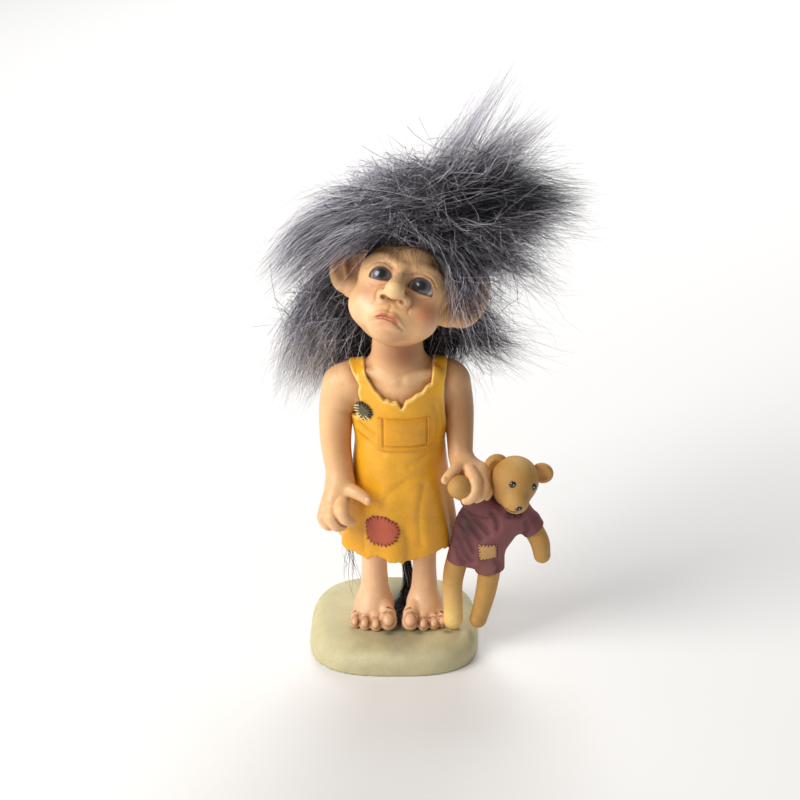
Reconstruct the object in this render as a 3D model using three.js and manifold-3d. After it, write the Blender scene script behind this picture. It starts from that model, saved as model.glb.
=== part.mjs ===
// A folk elf girl in painted cast resin, with a fur wig and tail, holding a toy bear by the paw.
// Millimetres, +Z up. The origin is under the middle of the base and the figure faces -Y.
// Left and right are the figure's own: its right hand is at -X.
import * as THREE from 'three';
import { mergeVertices } from 'three/addons/utils/BufferGeometryUtils.js';
import Module from 'manifold-3d';

// Driving dimensions
const GLUE_GAP = 0.3;
const BASE = { halfWidth: 26.5, halfDepth: 24.2, height: 8, squareness: 3 };
const DRESS_THICKNESS = 1.6;
const PATCH_THICKNESS = 0.7;
const HEM_RECESS = { depth: 3.5, halfWidth: 15.6, halfDepth: 11.4, straight: 0.7, taper: 1.4 };
const PIN_RADIUS = 1.2;
const WIG_THICKNESS = 1;
const EYE_RADIUS = 4.3;
const BEAR_EYE_RADIUS = 1;
const LEG_TOP = 47;
const BODICE_FOOT = 60;
const FLOOR_OF_FEET = BASE.height + GLUE_GAP;

// The head's own frame: where its middle is, and how far it looks up, tilts and turns, in degrees.
const HEAD_CENTRE = new THREE.Vector3(2.2, -4, 118.4);
const HEAD_PITCH = -29;
const HEAD_ROLL = 14.8;
const HEAD_YAW = -6;

const wasm = await Module();
wasm.setup();

// Building blocks

const vector = ([x, y, z]) => new THREE.Vector3(x, y, z);

// A closed surface through rings of points, each ring counter-clockwise about the way the rings run.
function skin(rings, startPole, endPole) {
  const sides = rings[0].length;
  const points = [startPole, endPole, ...rings.flat()];
  const at = (ring, side) => 2 + ring * sides + (side % sides);
  const last = rings.length - 1;
  const index = [];
  for (let side = 0; side < sides; side++) {
    index.push(0, at(0, side + 1), at(0, side));
    index.push(1, at(last, side), at(last, side + 1));
    for (let ring = 0; ring < last; ring++) {
      index.push(at(ring, side), at(ring, side + 1), at(ring + 1, side + 1));
      index.push(at(ring, side), at(ring + 1, side + 1), at(ring + 1, side));
    }
  }
  return new THREE.BufferGeometry().setFromPoints(points).setIndex(index);
}

// A rounded-off ellipse; squareness 2 is a plain ellipse and larger values fill its corners.
function superellipse(angle, squareness) {
  const bend = (v) => Math.sign(v) * Math.abs(v) ** (2 / squareness);
  return [bend(Math.cos(angle)), bend(Math.sin(angle))];
}

// A body stacked from level sections [height, half-width, half-depth, centre x, centre y].
function loft(sections, { sides = 20, squareness = 2, grow = 0, fold = () => 0 } = {}) {
  const rings = sections.map(([z, a, b, x, y]) =>
    Array.from({ length: sides }, (_, k) => {
      const angle = (2 * Math.PI * k) / sides;
      const [u, v] = superellipse(angle, squareness);
      const swell = 1 + fold(angle, z);
      return new THREE.Vector3(x + (a + grow) * u * swell, y + (b + grow) * v * swell, z);
    }),
  );
  const middle = ([z, , , x, y]) => new THREE.Vector3(x, y, z);
  return skin(rings, middle(sections[0]), middle(sections.at(-1)));
}

// A round-ended limb through stations [x, y, z, radius]. Its rings are turned about an axis that it doesn't
// run along: the depth axis, or the width axis for a limb that runs mostly front to back.
const STEEP = 0.8;

function limb(stations, { sides = 9, steps = 5, grow = 0 } = {}) {
  const spine = new THREE.CatmullRomCurve3(stations.map(vector));
  const radii = new THREE.CatmullRomCurve3(stations.map((s) => new THREE.Vector3(s[3] + grow, 0, 0)));
  const capAngles = [Math.PI / 3, Math.PI / 6];
  const slices = [
    ...capAngles.map((angle) => ({ t: 0, angle, way: -1 })),
    ...Array.from({ length: steps + 1 }, (_, i) => ({ t: i / steps, angle: 0, way: 1 })),
    ...capAngles.toReversed().map((angle) => ({ t: 1, angle, way: 1 })),
  ];
  const run = vector(stations.at(-1)).sub(vector(stations[0])).normalize();
  const axis = Math.abs(run.y) < STEEP ? new THREE.Vector3(0, 1, 0) : new THREE.Vector3(1, 0, 0);
  const frameAt = (t) => {
    const along = spine.getTangent(t);
    const across = axis.clone().cross(along).normalize();
    return { along, across, up: along.clone().cross(across) };
  };
  const rings = slices.map(({ t, angle, way }) => {
    const { along, across, up } = frameAt(t);
    const radius = radii.getPoint(t).x;
    const middle = spine.getPoint(t).addScaledVector(along, way * radius * Math.sin(angle));
    return Array.from({ length: sides }, (_, k) => {
      const turn = (2 * Math.PI * k) / sides;
      const reach = radius * Math.cos(angle);
      return middle
        .clone()
        .addScaledVector(across, reach * Math.cos(turn))
        .addScaledVector(up, reach * Math.sin(turn));
    });
  });
  const pole = (t, way) => spine.getPoint(t).addScaledVector(frameAt(t).along, way * radii.getPoint(t).x);
  return skin(rings, pole(0, -1), pole(1, 1));
}

function ellipsoid(centre, radii, { grow = 0, turn = [0, 0, 0], detail = 12 } = {}) {
  return new THREE.SphereGeometry(1, detail, Math.round(detail * 0.7))
    .scale(...radii.map((r) => r + grow))
    .rotateX(THREE.MathUtils.degToRad(turn[0]))
    .rotateY(THREE.MathUtils.degToRad(turn[1]))
    .rotateZ(THREE.MathUtils.degToRad(turn[2]))
    .translate(...centre);
}

// A level outline [x, z] pushed through from yBack to yFront, for cutting shapes seen from the front.
function curtain(outline, yFront, yBack) {
  const shape = new THREE.Shape(outline.map(([x, z]) => new THREE.Vector2(x, z)));
  const depth = yBack - yFront;
  return new THREE.ExtrudeGeometry(shape, { depth, bevelEnabled: false })
    .rotateX(Math.PI / 2)
    .translate(0, yBack, 0);
}

function pin(from, to, grow = 0) {
  const [start, end] = [vector(from), vector(to)];
  const along = end.clone().sub(start);
  const upright = new THREE.Vector3(0, 1, 0);
  const turn = new THREE.Quaternion().setFromUnitVectors(upright, along.clone().normalize());
  return new THREE.CylinderGeometry(PIN_RADIUS + grow, PIN_RADIUS + grow, along.length() + 2 * grow, 12)
    .applyQuaternion(turn)
    .translate(...start.add(end).multiplyScalar(0.5).toArray());
}

// Joining and cutting

function solid(geometry) {
  const bare = geometry.clone();
  bare.deleteAttribute('normal');
  bare.deleteAttribute('uv');
  const merged = mergeVertices(bare);
  return new wasm.Manifold(
    new wasm.Mesh({
      numProp: 3,
      vertProperties: merged.attributes.position.array,
      triVerts: new Uint32Array(merged.index.array),
    }),
  );
}

const union = (...geometries) => geometries.map(solid).reduce((sum, next) => sum.add(next));
const cut = (body, ...tools) => tools.reduce((rest, tool) => rest.subtract(tool), body);

function geometryOf(body) {
  const { vertProperties, triVerts, numProp } = body.getMesh();
  const positions = new Float32Array((vertProperties.length / numProp) * 3);
  for (let i = 0; i < positions.length; i++) {
    positions[i] = vertProperties[Math.floor(i / 3) * numProp + (i % 3)];
  }
  const geometry = new THREE.BufferGeometry();
  geometry.setAttribute('position', new THREE.BufferAttribute(positions, 3));
  geometry.setIndex(Array.from(triVerts));
  geometry.computeVertexNormals();
  return geometry;
}

function paint(color, roughness, metalness = 0) {
  return new THREE.MeshStandardMaterial({ color, roughness, metalness });
}

const MATERIALS = {
  skin: paint('#e0a878', 0.55),
  stone: paint('#c6c49c', 0.8),
  dress: paint('#dd9f26', 0.5),
  redPatch: paint('#c25a48', 0.6),
  greyPatch: paint('#7d7f6a', 0.6),
  eye: paint('#2b2833', 0.1),
  fur: paint('#4a4a55', 0.7),
  wigCloth: paint('#2c2a30', 0.9),
  steel: paint('#9a9c9e', 0.35, 1),
  bear: paint('#b98d50', 0.6),
  plum: paint('#6b3f46', 0.6),
  black: paint('#15120f', 0.2),
};

const figure = new THREE.Group();

function addPiece(name, body, material, parent = figure) {
  const mesh = new THREE.Mesh(geometryOf(body), MATERIALS[material]);
  mesh.name = name;
  parent.add(mesh);
  return mesh;
}

// Base: a soft-edged oval plinth, flat underneath

function baseBody() {
  const { halfWidth: a, halfDepth: b, height, squareness } = BASE;
  const edge = [
    [0, 1],
    [1.2, 0],
    [height - 5, 0.1],
    [height - 3.4, 0.5],
    [height - 1.6, 1.6],
    [height - 0.5, 3.4],
    [height, 5.2],
  ];
  const sections = edge.map(([z, inset]) => [z, a - inset, b - inset, 0, 0]);
  return solid(loft(sections, { sides: 36, squareness }));
}

// Legs: straight columns that spread into bare feet with four toes each, given as [x, radius, reach]

const LEGS = {
  right: {
    ankle: -6.25, shin: 4.3, foot: -6.5, width: 6.2,
    toes: [[-1.8, 2.5, -9.6], [-5.7, 1.75, -10.2], [-9.1, 1.7, -9.6], [-12.2, 1.55, -8.4]],
  },
  left: {
    ankle: 9.3, shin: 4, foot: 9.4, width: 5.6,
    toes: [[5, 2.45, -9.6], [9.1, 1.7, -10], [12.3, 1.55, -9.4], [14.8, 1.35, -8.2]],
  },
};
const TOE = { gather: 0.28, rootDepth: -4, rootLift: 2, knuckleBack: 3.4, knuckleLift: 1 };

function toeShape([x, radius, reach], foot, grow) {
  const middle = FLOOR_OF_FEET + radius;
  const root = [x + TOE.gather * (foot - x), TOE.rootDepth, middle + TOE.rootLift, radius];
  const knuckle = [x, reach + TOE.knuckleBack, middle + TOE.knuckleLift, radius];
  return limb([root, knuckle, [x, reach, middle, radius]], { sides: 7, steps: 3, grow });
}

function legBody({ ankle, shin, foot, width, toes }, grow = 0) {
  const column = loft(
    [
      [FLOOR_OF_FEET - grow, width, 6.4, foot, -1.6],
      [10.8, width + 0.2, 6.8, foot, -1.4],
      [13.4, width - 0.4, 6, foot, -0.7],
      [16, shin + 0.9, shin + 1, (foot + ankle) / 2, 0.6],
      [20, shin + 0.1, shin + 0.1, ankle, 1.2],
      [30, shin, shin, ankle, 1.4],
      [LEG_TOP + grow, shin + 0.4, shin + 0.4, ankle, 1.4],
    ],
    { sides: 14, grow },
  );
  return union(column, ...toes.map((toe) => toeShape(toe, foot, grow)));
}

const footPin = ({ ankle }, grow = 0) => solid(pin([ankle, 1, 3], [ankle, 1, 20], grow));

// Torso: chest and shoulders inside the dress, with the neck as a spigot for the head

const TORSO_SECTIONS = [
  [52, 10.5, 8.2, 1.4, 1],
  [60, 11.9, 9.6, 1.6, 0.6],
  [70, 11.7, 9.6, 1.9, 0.2],
  [80, 11.8, 9.2, 1.9, 0.2],
  [86, 13.8, 8.7, 1.7, 0.6],
  [91, 14.8, 8, 1.6, 0.9],
  [94.5, 13, 7, 1.8, 0.8],
  [97, 10.4, 6.7, 2, 0.4],
  [99, 8.6, 6.7, 2.2, 0],
  [102, 7.6, 7.2, 2.2, -0.9],
  [110, 6.9, 6.8, 2.2, -2.4],
];

const torsoBody = (grow = 0) => solid(loft(TORSO_SECTIONS, { grow }));

// Arms: upper arm, forearm and a hand with a thumb and three curled fingers

const ARMS = {
  right: {
    arm: [
      [-15.6, 1.2, 87.5, 5.8], [-17.3, 0.4, 79, 5.3], [-17.6, -2.2, 70.3, 4.7],
      [-16.8, -4.8, 64, 4.3], [-16, -7.4, 59, 4.1],
    ],
    palm: [[-16.6, -8.4, 57.6, 4.2], [-17.8, -10.4, 53.8, 4.4]],
    digits: [
      [[-14.6, -9.8, 57.6, 2.6], [-11.4, -12.8, 57.9, 2], [-8.9, -14.2, 57, 1.8], [-7.9, -15, 56.2, 1.4]],
      [
        [-15.4, -12.2, 55.2, 2.3], [-15.6, -15.4, 53.2, 2.2],
        [-14.6, -16.4, 50.9, 1.9], [-13, -15.6, 49.5, 1.5],
      ],
      [
        [-18.2, -12, 53.6, 2.4], [-18.8, -15, 50.8, 2.2],
        [-17.4, -15.8, 48.4, 1.9], [-15.6, -14.8, 47.4, 1.5],
      ],
      [[-20.4, -10.6, 52.4, 2.2], [-21.2, -13, 49.6, 2], [-20, -13.8, 47.4, 1.8], [-18.4, -13, 46.8, 1.4]],
    ],
  },
  left: {
    arm: [
      [17.6, 1.2, 88, 5.4], [19.3, 0.6, 80, 4.7], [19.9, -2.2, 70.6, 4],
      [20, -5, 66.6, 3.7], [20.6, -7.2, 64.2, 3.4],
    ],
    palm: [[21.8, -8, 64.4, 3.6], [25.2, -9.4, 62.4, 4.1], [26, -10.2, 60.4, 3.7]],
    digits: [
      [[19.9, -9.4, 65.6, 2.1], [17.8, -12.6, 65, 1.8], [16, -14.3, 63.9, 1.6], [15.2, -15, 63.2, 1.3]],
      [[22.6, -11.6, 64.8, 2], [24, -15.2, 63, 1.9], [24, -17.3, 60.4, 1.7], [21.2, -18.4, 58.1, 1.3]],
      [[26, -11.4, 63, 2], [26.7, -14.2, 60.8, 1.9], [25.8, -15.8, 58.6, 1.7], [24.4, -16.2, 57.4, 1.3]],
      [[27.8, -9.6, 61, 1.9], [28.1, -12.2, 58.8, 1.8], [27.2, -13.8, 57.2, 1.6], [25.8, -14.2, 56.6, 1.3]],
    ],
  },
};

function armBody({ arm, palm, digits }, grow = 0) {
  return union(
    limb(arm, { steps: 7, grow }),
    limb(palm, { steps: 2, grow }),
    ...digits.map((digit) => limb(digit, { sides: 6, steps: 4, grow })),
  );
}

const ARM_PINS = {
  right: [[-15.5, 1, 88.5], [-7, 1, 88.5]],
  left: [[18, 1, 88.5], [10, 1, 88.5]],
};

// Dress: a pinafore with two straps, solid in the skirt and hollow for the torso

const SKIRT_SECTIONS = [
  [35, 18.3, 14.3, 0.7, 0],
  [42, 17.7, 13.9, 1.3, 0],
  [52, 16.2, 13.1, 1.5, 0],
  [62, 14.6, 12.2, 1.7, 0],
  [70, 13.7, 11.6, 1.8, 0],
  [78, 13.2, 11, 1.8, 0.2],
];
const FOLD_COUNT = 7;
const FOLD_DEPTH = 0.035;
const FOLD_START = 0.6;
const FOLDS_END = 66;

// The skirt's soft folds, deepest at the hem and gone at the waist.
function skirtFold(angle, z) {
  const drop = THREE.MathUtils.clamp((FOLDS_END - z) / (FOLDS_END - SKIRT_SECTIONS[0][0]), 0, 1);
  return FOLD_DEPTH * drop * Math.sin(FOLD_COUNT * angle + FOLD_START);
}

const NECKLINE = [
  [-10.2, 106], [-9.6, 97.6], [-7.9, 92.6], [-5.6, 89.2], [-3, 86.6], [0.9, 86.3],
  [2.3, 84.3], [3.6, 86.5], [6.6, 88.2], [11, 90.8], [11.6, 97], [11.9, 106],
];
const ARMHOLES = [
  [[-30, 79], [-11.2, 79], [-9.6, 84.6], [-10.6, 88], [-12.2, 93], [-14.4, 97], [-14.4, 106], [-30, 106]],
  [[30, 106], [16.4, 106], [15, 91], [15.3, 80], [15.8, 76], [30, 76]],
];
const THROUGH = 30;

function dressOuter(grow = 0) {
  const bodice = TORSO_SECTIONS.filter(([z]) => z >= BODICE_FOOT).slice(0, -1);
  return union(
    loft(SKIRT_SECTIONS, { sides: 32, grow, fold: skirtFold }),
    loft(bodice, { grow: grow + GLUE_GAP + DRESS_THICKNESS }),
  );
}

function dressBody() {
  const [hem, , , x, y] = SKIRT_SECTIONS[0];
  const { depth, halfWidth, halfDepth, straight, taper } = HEM_RECESS;
  const recess = loft(
    [
      [hem - GLUE_GAP, halfWidth, halfDepth, x, y],
      [hem + straight * depth, halfWidth, halfDepth, x, y],
      [hem + depth, halfWidth - taper, halfDepth - taper, x, y],
    ],
    { sides: 16 },
  );
  return cut(
    dressOuter(),
    torsoBody(GLUE_GAP),
    solid(recess),
    ...[NECKLINE, ...ARMHOLES].map((outline) => solid(curtain(outline, -THROUGH, THROUGH))),
    ...Object.values(ARMS).map((arm) => armBody(arm, GLUE_GAP)),
    ...Object.values(LEGS).map((leg) => legBody(leg, GLUE_GAP)),
  );
}

// A patch or pocket: a thin skin that follows the dress, cut to an outline seen from the front.
function appliqueBody(outline) {
  const outer = dressOuter(GLUE_GAP + PATCH_THICKNESS);
  const inner = dressOuter(GLUE_GAP);
  return outer.subtract(inner).intersect(solid(curtain(outline, -THROUGH, 0)));
}

const POCKET = [[-5, 71], [10.6, 71.4], [10.7, 81.2], [-5.1, 81.5]];
const CHEST_PATCH = [[-9.4, 80], [-6.9, 81.7], [-7.2, 84.4], [-9.2, 86], [-10.8, 85.4], [-11, 82.2]];
const SKIRT_PATCH = [
  [-7.4, 41.4], [-5.6, 39.8], [-2.2, 39.6], [0.8, 41.8],
  [2, 45.2], [0.8, 48.4], [-2.2, 50.4], [-7.8, 47.6],
];

// Head: skull, face, cheeks, chin, nose and big ears, in the head's own frame

const SKULL = { centre: [0, 4, 6.5], size: [12.6, 15.2, 15] };
const NECK_TOP = { centre: [2.2, -2.4, 110], size: [6.9, 6.8, 2] };
const SIDES = [-1, 1];
const EYES = { right: [-6.3, -7.6, 2.65], left: [6.3, -7.6, 2.65] };
const EAR_TURN = 24;
const EAR = { centre: [17.2, 5, 5.4], size: [7.6, 2.4, 9.8] };
const EAR_LOBE = { centre: [14.2, 3, -2.4], size: [3.2, 2.1, 3] };
const JAW = { centre: [0, -0.5, -4], size: [13.4, 12.6, 11.6] };
const CHIN = { centre: [0, -9.4, -12.6], size: [4.8, 4, 3.4] };
const MUZZLE = { centre: [0, -10, -8.6], size: [6.6, 4.8, 4.6] };
const CHEEK = { centre: [7.2, -6, -6.2], size: [6.1, 6.1, 6.2] };
const EYE_MOUND = { centre: [6.3, -6.2, 3], size: [6.5, 5.3, 5.5] };
const NOSTRIL = { centre: [3.3, -13.8, -2.9], size: [1.7, 2.4, 1.7] };
const NOSE = [[0, -11.6, 5.6, 1.5], [0, -14.2, 2.4, 2], [0, -16.8, -1, 3.2]];

const ball = ({ centre, size }, options) => ellipsoid(centre, size, options);
const onSide = ({ centre: [x, y, z], size }, side) => ({ centre: [x * side, y, z], size });
const skullShape = (grow) => ball(SKULL, { grow, detail: 16 });

function earShapes(grow = 0) {
  return SIDES.flatMap((side) => [
    ball(onSide(EAR, side), { grow, turn: [0, 0, side * EAR_TURN] }),
    ball(onSide(EAR_LOBE, side), { grow, detail: 8 }),
  ]);
}

function faceShapes(grow = 0) {
  const paired = SIDES.flatMap((side) => [
    ball(onSide(CHEEK, side), { grow, detail: 10 }),
    ball(onSide(EYE_MOUND, side), { grow, detail: 10 }),
    ball(onSide(NOSTRIL, side), { grow, detail: 6 }),
  ]);
  return [
    ball(JAW, { grow, detail: 14 }),
    ball(CHIN, { grow, detail: 8 }),
    ball(MUZZLE, { grow, detail: 8 }),
    limb(NOSE, { sides: 8, steps: 3, grow }),
    ...paired,
  ];
}

const eyeBall = (centre, grow = 0) => ball({ centre, size: Array(3).fill(EYE_RADIUS) }, { grow, detail: 10 });

const headFrame = new THREE.Group();
headFrame.position.copy(HEAD_CENTRE);
headFrame.rotation.set(...[HEAD_PITCH, HEAD_ROLL, HEAD_YAW].map(THREE.MathUtils.degToRad), 'ZXY');
headFrame.updateMatrix();
const intoHead = headFrame.matrix.clone().invert();
figure.add(headFrame);

// Geometry in the figure's frame as a solid in the head's, and the other way round.
const seenFromHead = (geometry) => solid(geometry.clone().applyMatrix4(intoHead));
const seenFromFigure = (geometry) => solid(geometry.clone().applyMatrix4(headFrame.matrix));

function headBody() {
  const sockets = Object.values(EYES).map((centre) => solid(eyeBall(centre, GLUE_GAP)));
  return cut(
    union(skullShape(0), ...faceShapes(), ...earShapes()),
    ...sockets,
    seenFromHead(loft(TORSO_SECTIONS, { grow: GLUE_GAP })),
    seenFromHead(ball(NECK_TOP, { grow: GLUE_GAP })),
  );
}

// The wig's cloth backing: a cap over the scalp behind the hairline, which rises towards the forehead.
const HAIRLINE = { height: 7.5, slope: -30, reach: 60 };

function wigBody() {
  const { height, slope, reach } = HAIRLINE;
  const below = new THREE.BoxGeometry(reach, reach, reach)
    .translate(0, 0, -reach / 2)
    .rotateX(THREE.MathUtils.degToRad(slope))
    .translate(0, 0, height);
  return cut(
    solid(skullShape(GLUE_GAP + WIG_THICKNESS)),
    solid(skullShape(GLUE_GAP)),
    solid(below),
    ...faceShapes(GLUE_GAP).map(solid),
    ...earShapes(GLUE_GAP).map(solid),
  );
}

// Hair: long fur locks swept off the scalp, in the figure's frame

const LOCKS = [
  { name: 'tall plume', stations: [[2, 0, 142, 5.4], [13, 1, 152, 5], [22, 1, 164, 3.6], [31, 1, 180, 1.8]] },
  { name: 'wide plume', stations: [[8, 0, 141, 6], [22, 1, 151, 6], [33, 1, 160, 4.4], [42, 1, 167.5, 2]] },
  {
    name: 'left sweep',
    stations: [
      [0, -5, 140, 6], [10, -6, 142.5, 6.6], [22, -5, 146, 8],
      [35, -2, 147.5, 7], [49, 1, 146, 4],
    ],
  },
  {
    name: 'left middle',
    stations: [[12, -4, 137, 5.4], [25, -3, 139.5, 6.2], [37, 1, 138, 6], [48, 2, 135, 4.2]],
  },
  {
    name: 'left droop',
    stations: [[16, -2, 133.5, 5], [27, 0, 130, 5], [37, 2, 126, 4.2], [45, 3, 121, 2.6]],
  },
  {
    name: 'right sweep',
    stations: [
      [8, -6, 143, 5], [0, -6, 143.5, 5.8], [-10, -5, 142, 6.6],
      [-22, -3, 135, 7], [-34, 0, 122, 3.6],
    ],
  },
  { name: 'top', stations: [[4, 1, 142, 9.4], [-2, 2, 148, 7.4], [-7, 4, 153.5, 3.8]] },
  {
    name: 'right fall',
    stations: [[-9, 15, 122, 7.4], [-16, 16, 108, 8.4], [-23, 16, 92, 7.8], [-28.5, 16, 80, 4]],
  },
  {
    name: 'left fall',
    stations: [[13, 14, 118, 7], [20, 15, 104, 7.2], [28, 15, 96, 5.8], [35, 15, 91, 3.2]],
  },
  { name: 'crown', stations: [[2, 8, 136, 10.4], [4, 18, 136, 10.4], [6, 27, 129.5, 7]] },
  { name: 'nape', stations: [[2, 13, 126, 11], [2, 19, 108, 10.4], [2, 20, 92, 8.4], [2, 19, 80, 4.4]] },
];

function hairBody() {
  const locks = union(...LOCKS.map(({ stations }) => limb(stations, { sides: 9, steps: 5 })));
  return cut(
    locks,
    seenFromFigure(skullShape(WIG_THICKNESS + 2 * GLUE_GAP)),
    ...[...faceShapes(GLUE_GAP), ...earShapes(GLUE_GAP)].map(seenFromFigure),
    dressOuter(GLUE_GAP),
    torsoBody(GLUE_GAP),
    ...Object.values(ARMS).map((arm) => armBody(arm, GLUE_GAP)),
  );
}

// Tail: a lock of the same fur that hangs behind the legs and lies forward between the feet

function tailBody() {
  const lock = limb(
    [[4, 9.4, 36, 2], [5.4, 8.8, 26, 2.3], [5.2, 8, 18, 2.6], [3.4, 5.4, 12, 2.3], [2, -1, 9.7, 1.2]],
    { sides: 7, steps: 7 },
  );
  const legs = Object.values(LEGS).map((leg) => legBody(leg, GLUE_GAP));
  return cut(solid(lock), ...legs, baseBody(), dressOuter(GLUE_GAP));
}

// Bear: head, ears, shirted body and four limbs, each a casting of its own

const BEAR = {
  head: { centre: [36.3, -10.3, 61.3], size: [7.2, 7.1, 7] },
  muzzle: [[36.2, -12.2, 59.6, 5.9], [36.3, -16.6, 57.2, 4.1]],
  cheek: { centre: [34.4, -12, 58], size: [4.7, 5.1, 4.4] },
  ears: {
    right: { centre: [30.7, -8.2, 64.8], size: [3.7, 2, 3.6], turn: [0, -20, 10] },
    left: { centre: [44.6, -8, 62], size: [3.4, 2, 3.3], turn: [0, 25, -10] },
  },
  eyes: { right: [35.2, -17.4, 62.7], left: [41.4, -15.2, 61] },
  nose: { centre: [36.9, -20.4, 56.5], size: [1.15, 0.9, 0.9] },
  shirt: {
    trunk: [[35, -9, 49.6, 6.1], [31.6, -8.4, 45.4, 7], [28.2, -7.6, 40, 7.3], [26.4, -7.2, 35.6, 6.7]],
    flank: [[26.5, -9, 50.5, 5], [24.2, -7.8, 44, 5.9], [23.4, -7.2, 38, 5.7]],
    rightSleeve: [[30.5, -9.8, 49.4, 4.8], [26.2, -12, 53.4, 4.2], [24.6, -12.8, 55.2, 3.9]],
    leftSleeve: [[37, -8.8, 48.2, 4.9], [40.4, -8.3, 45.6, 4.3]],
    rightShort: [[22.6, -7, 37, 5.3], [21.4, -7, 35, 5]],
    leftShort: [[28.6, -7.2, 36, 5.4], [29.4, -7.1, 32.4, 4.7]],
  },
  arms: {
    right: [
      [27, -11.4, 52.8, 3.4], [23.2, -13.6, 57.2, 3.2],
      [20.6, -15.4, 60.2, 3.4], [19.5, -15.9, 61.3, 3.6],
    ],
    left: [[41, -8, 45.4, 3.1], [44.4, -8.3, 39, 3], [45.4, -8.8, 34.2, 2.6]],
  },
  legs: {
    right: [
      [20.8, -6.9, 36, 3.4], [18.9, -6.9, 29, 3.4], [18.1, -7.2, 22.6, 3.1],
      [18.4, -8.2, 14.5, 3], [18.4, -9, 11.5, 3.1],
    ],
    left: [[30, -7, 33, 3.6], [28.6, -7.2, 21, 3.2], [26.6, -7.9, 12, 2.7], [26.2, -8.2, 11.1, 2.7]],
  },
  patch: [[26.1, 35.5], [31.1, 36.2], [30.8, 41], [25.6, 40.7]],
  bow: [35.8, -15.2, 51.4],
  footPin: [[18.4, -8.8, 3], [18.4, -8.3, 15]],
};

const BOW_LOOP = { spread: 1.5, size: [1.5, 0.9, 1.2] };
const BOW_KNOT = { lift: 0.3, size: [0.8, 0.9, 0.8] };

const bearHeadShapes = (grow = 0) => [
  ball(BEAR.head, { grow }),
  limb(BEAR.muzzle, { sides: 12, steps: 2, grow }),
  ball(BEAR.cheek, { grow, detail: 10 }),
];

function bearShirtShapes(grow = 0) {
  return Object.values(BEAR.shirt).map((part) => limb(part, { sides: 11, steps: 3, grow }));
}

function bearEye(side, grow = 0) {
  return solid(ellipsoid(BEAR.eyes[side], Array(3).fill(BEAR_EYE_RADIUS), { grow, detail: 8 }));
}

const bearNose = (grow = 0) => solid(ball(BEAR.nose, { grow, detail: 8 }));
const bearFootPin = (grow = 0) => solid(pin(...BEAR.footPin, grow));

function bearBowBody() {
  const [x, y, z] = BEAR.bow;
  const { spread, size } = BOW_LOOP;
  const loops = SIDES.map((side) => ellipsoid([x + side * spread, y, z], size, { detail: 6 }));
  const knot = ellipsoid([x, y - BOW_KNOT.lift, z], BOW_KNOT.size, { detail: 6 });
  const behind = [...bearHeadShapes(GLUE_GAP), ...bearShirtShapes(GLUE_GAP)];
  return cut(union(...loops, knot), ...behind.map(solid));
}

function bearPatchBody() {
  const outer = union(...bearShirtShapes(GLUE_GAP + PATCH_THICKNESS));
  const inner = union(...bearShirtShapes(GLUE_GAP));
  const [, , [, middleDepth]] = BEAR.shirt.trunk;
  return outer.subtract(inner).intersect(solid(curtain(BEAR.patch, -THROUGH, middleDepth)));
}

// Assembly

const armsCut = () => Object.values(ARMS).map((arm) => armBody(arm, GLUE_GAP));
const footPinsCut = () => Object.values(LEGS).map((leg) => footPin(leg, GLUE_GAP));
const armPinCut = (side) => solid(pin(...ARM_PINS[side], GLUE_GAP));

addPiece('base', cut(baseBody(), ...footPinsCut(), bearFootPin(GLUE_GAP)), 'stone');
addPiece('dress', dressBody(), 'dress');
addPiece('torso', cut(torsoBody(), ...armsCut(), armPinCut('right'), armPinCut('left')), 'skin');
addPiece('pocket', appliqueBody(POCKET), 'dress');
addPiece('chest_patch', cut(appliqueBody(CHEST_PATCH), ...armsCut()), 'greyPatch');
addPiece('skirt_patch', cut(appliqueBody(SKIRT_PATCH), ...armsCut()), 'redPatch');

for (const side of ['right', 'left']) {
  addPiece(`${side}_leg`, cut(legBody(LEGS[side]), footPin(LEGS[side], GLUE_GAP)), 'skin');
  addPiece(`${side}_leg_pin`, footPin(LEGS[side]), 'steel');
  addPiece(`${side}_arm`, cut(armBody(ARMS[side]), armPinCut(side)), 'skin');
  addPiece(`${side}_arm_pin`, solid(pin(...ARM_PINS[side])), 'steel');
  const eye = addPiece(`${side}_eye`, solid(eyeBall([0, 0, 0])), 'eye', headFrame);
  eye.position.set(...EYES[side]);
}

addPiece('head', headBody(), 'skin', headFrame);
addPiece('wig_backing', wigBody(), 'wigCloth', headFrame);
addPiece('hair', hairBody(), 'fur');
addPiece('tail', tailBody(), 'fur');

// The bear stands clear of the dress and the hand; its smaller pieces are cut by the larger ones.
const bearHeadCut = () => bearHeadShapes(GLUE_GAP).map(solid);
const bearShirtCut = () => bearShirtShapes(GLUE_GAP).map(solid);
const handCut = () => armBody(ARMS.left, GLUE_GAP);
const bearHead = union(...bearHeadShapes());
const bearShirt = cut(union(...bearShirtShapes()), ...bearHeadCut(), dressOuter(GLUE_GAP), handCut());
const bearFeatures = [bearEye('right', GLUE_GAP), bearEye('left', GLUE_GAP), bearNose(GLUE_GAP)];

addPiece('bear_shirt', bearShirt, 'plum');
addPiece('bear_head', cut(bearHead, handCut(), ...bearFeatures), 'bear');
addPiece('bear_nose', bearNose(), 'black');
addPiece('bear_bow', bearBowBody(), 'plum');
addPiece('bear_patch', bearPatchBody(), 'bear');
addPiece('bear_foot_pin', bearFootPin(), 'steel');

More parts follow.
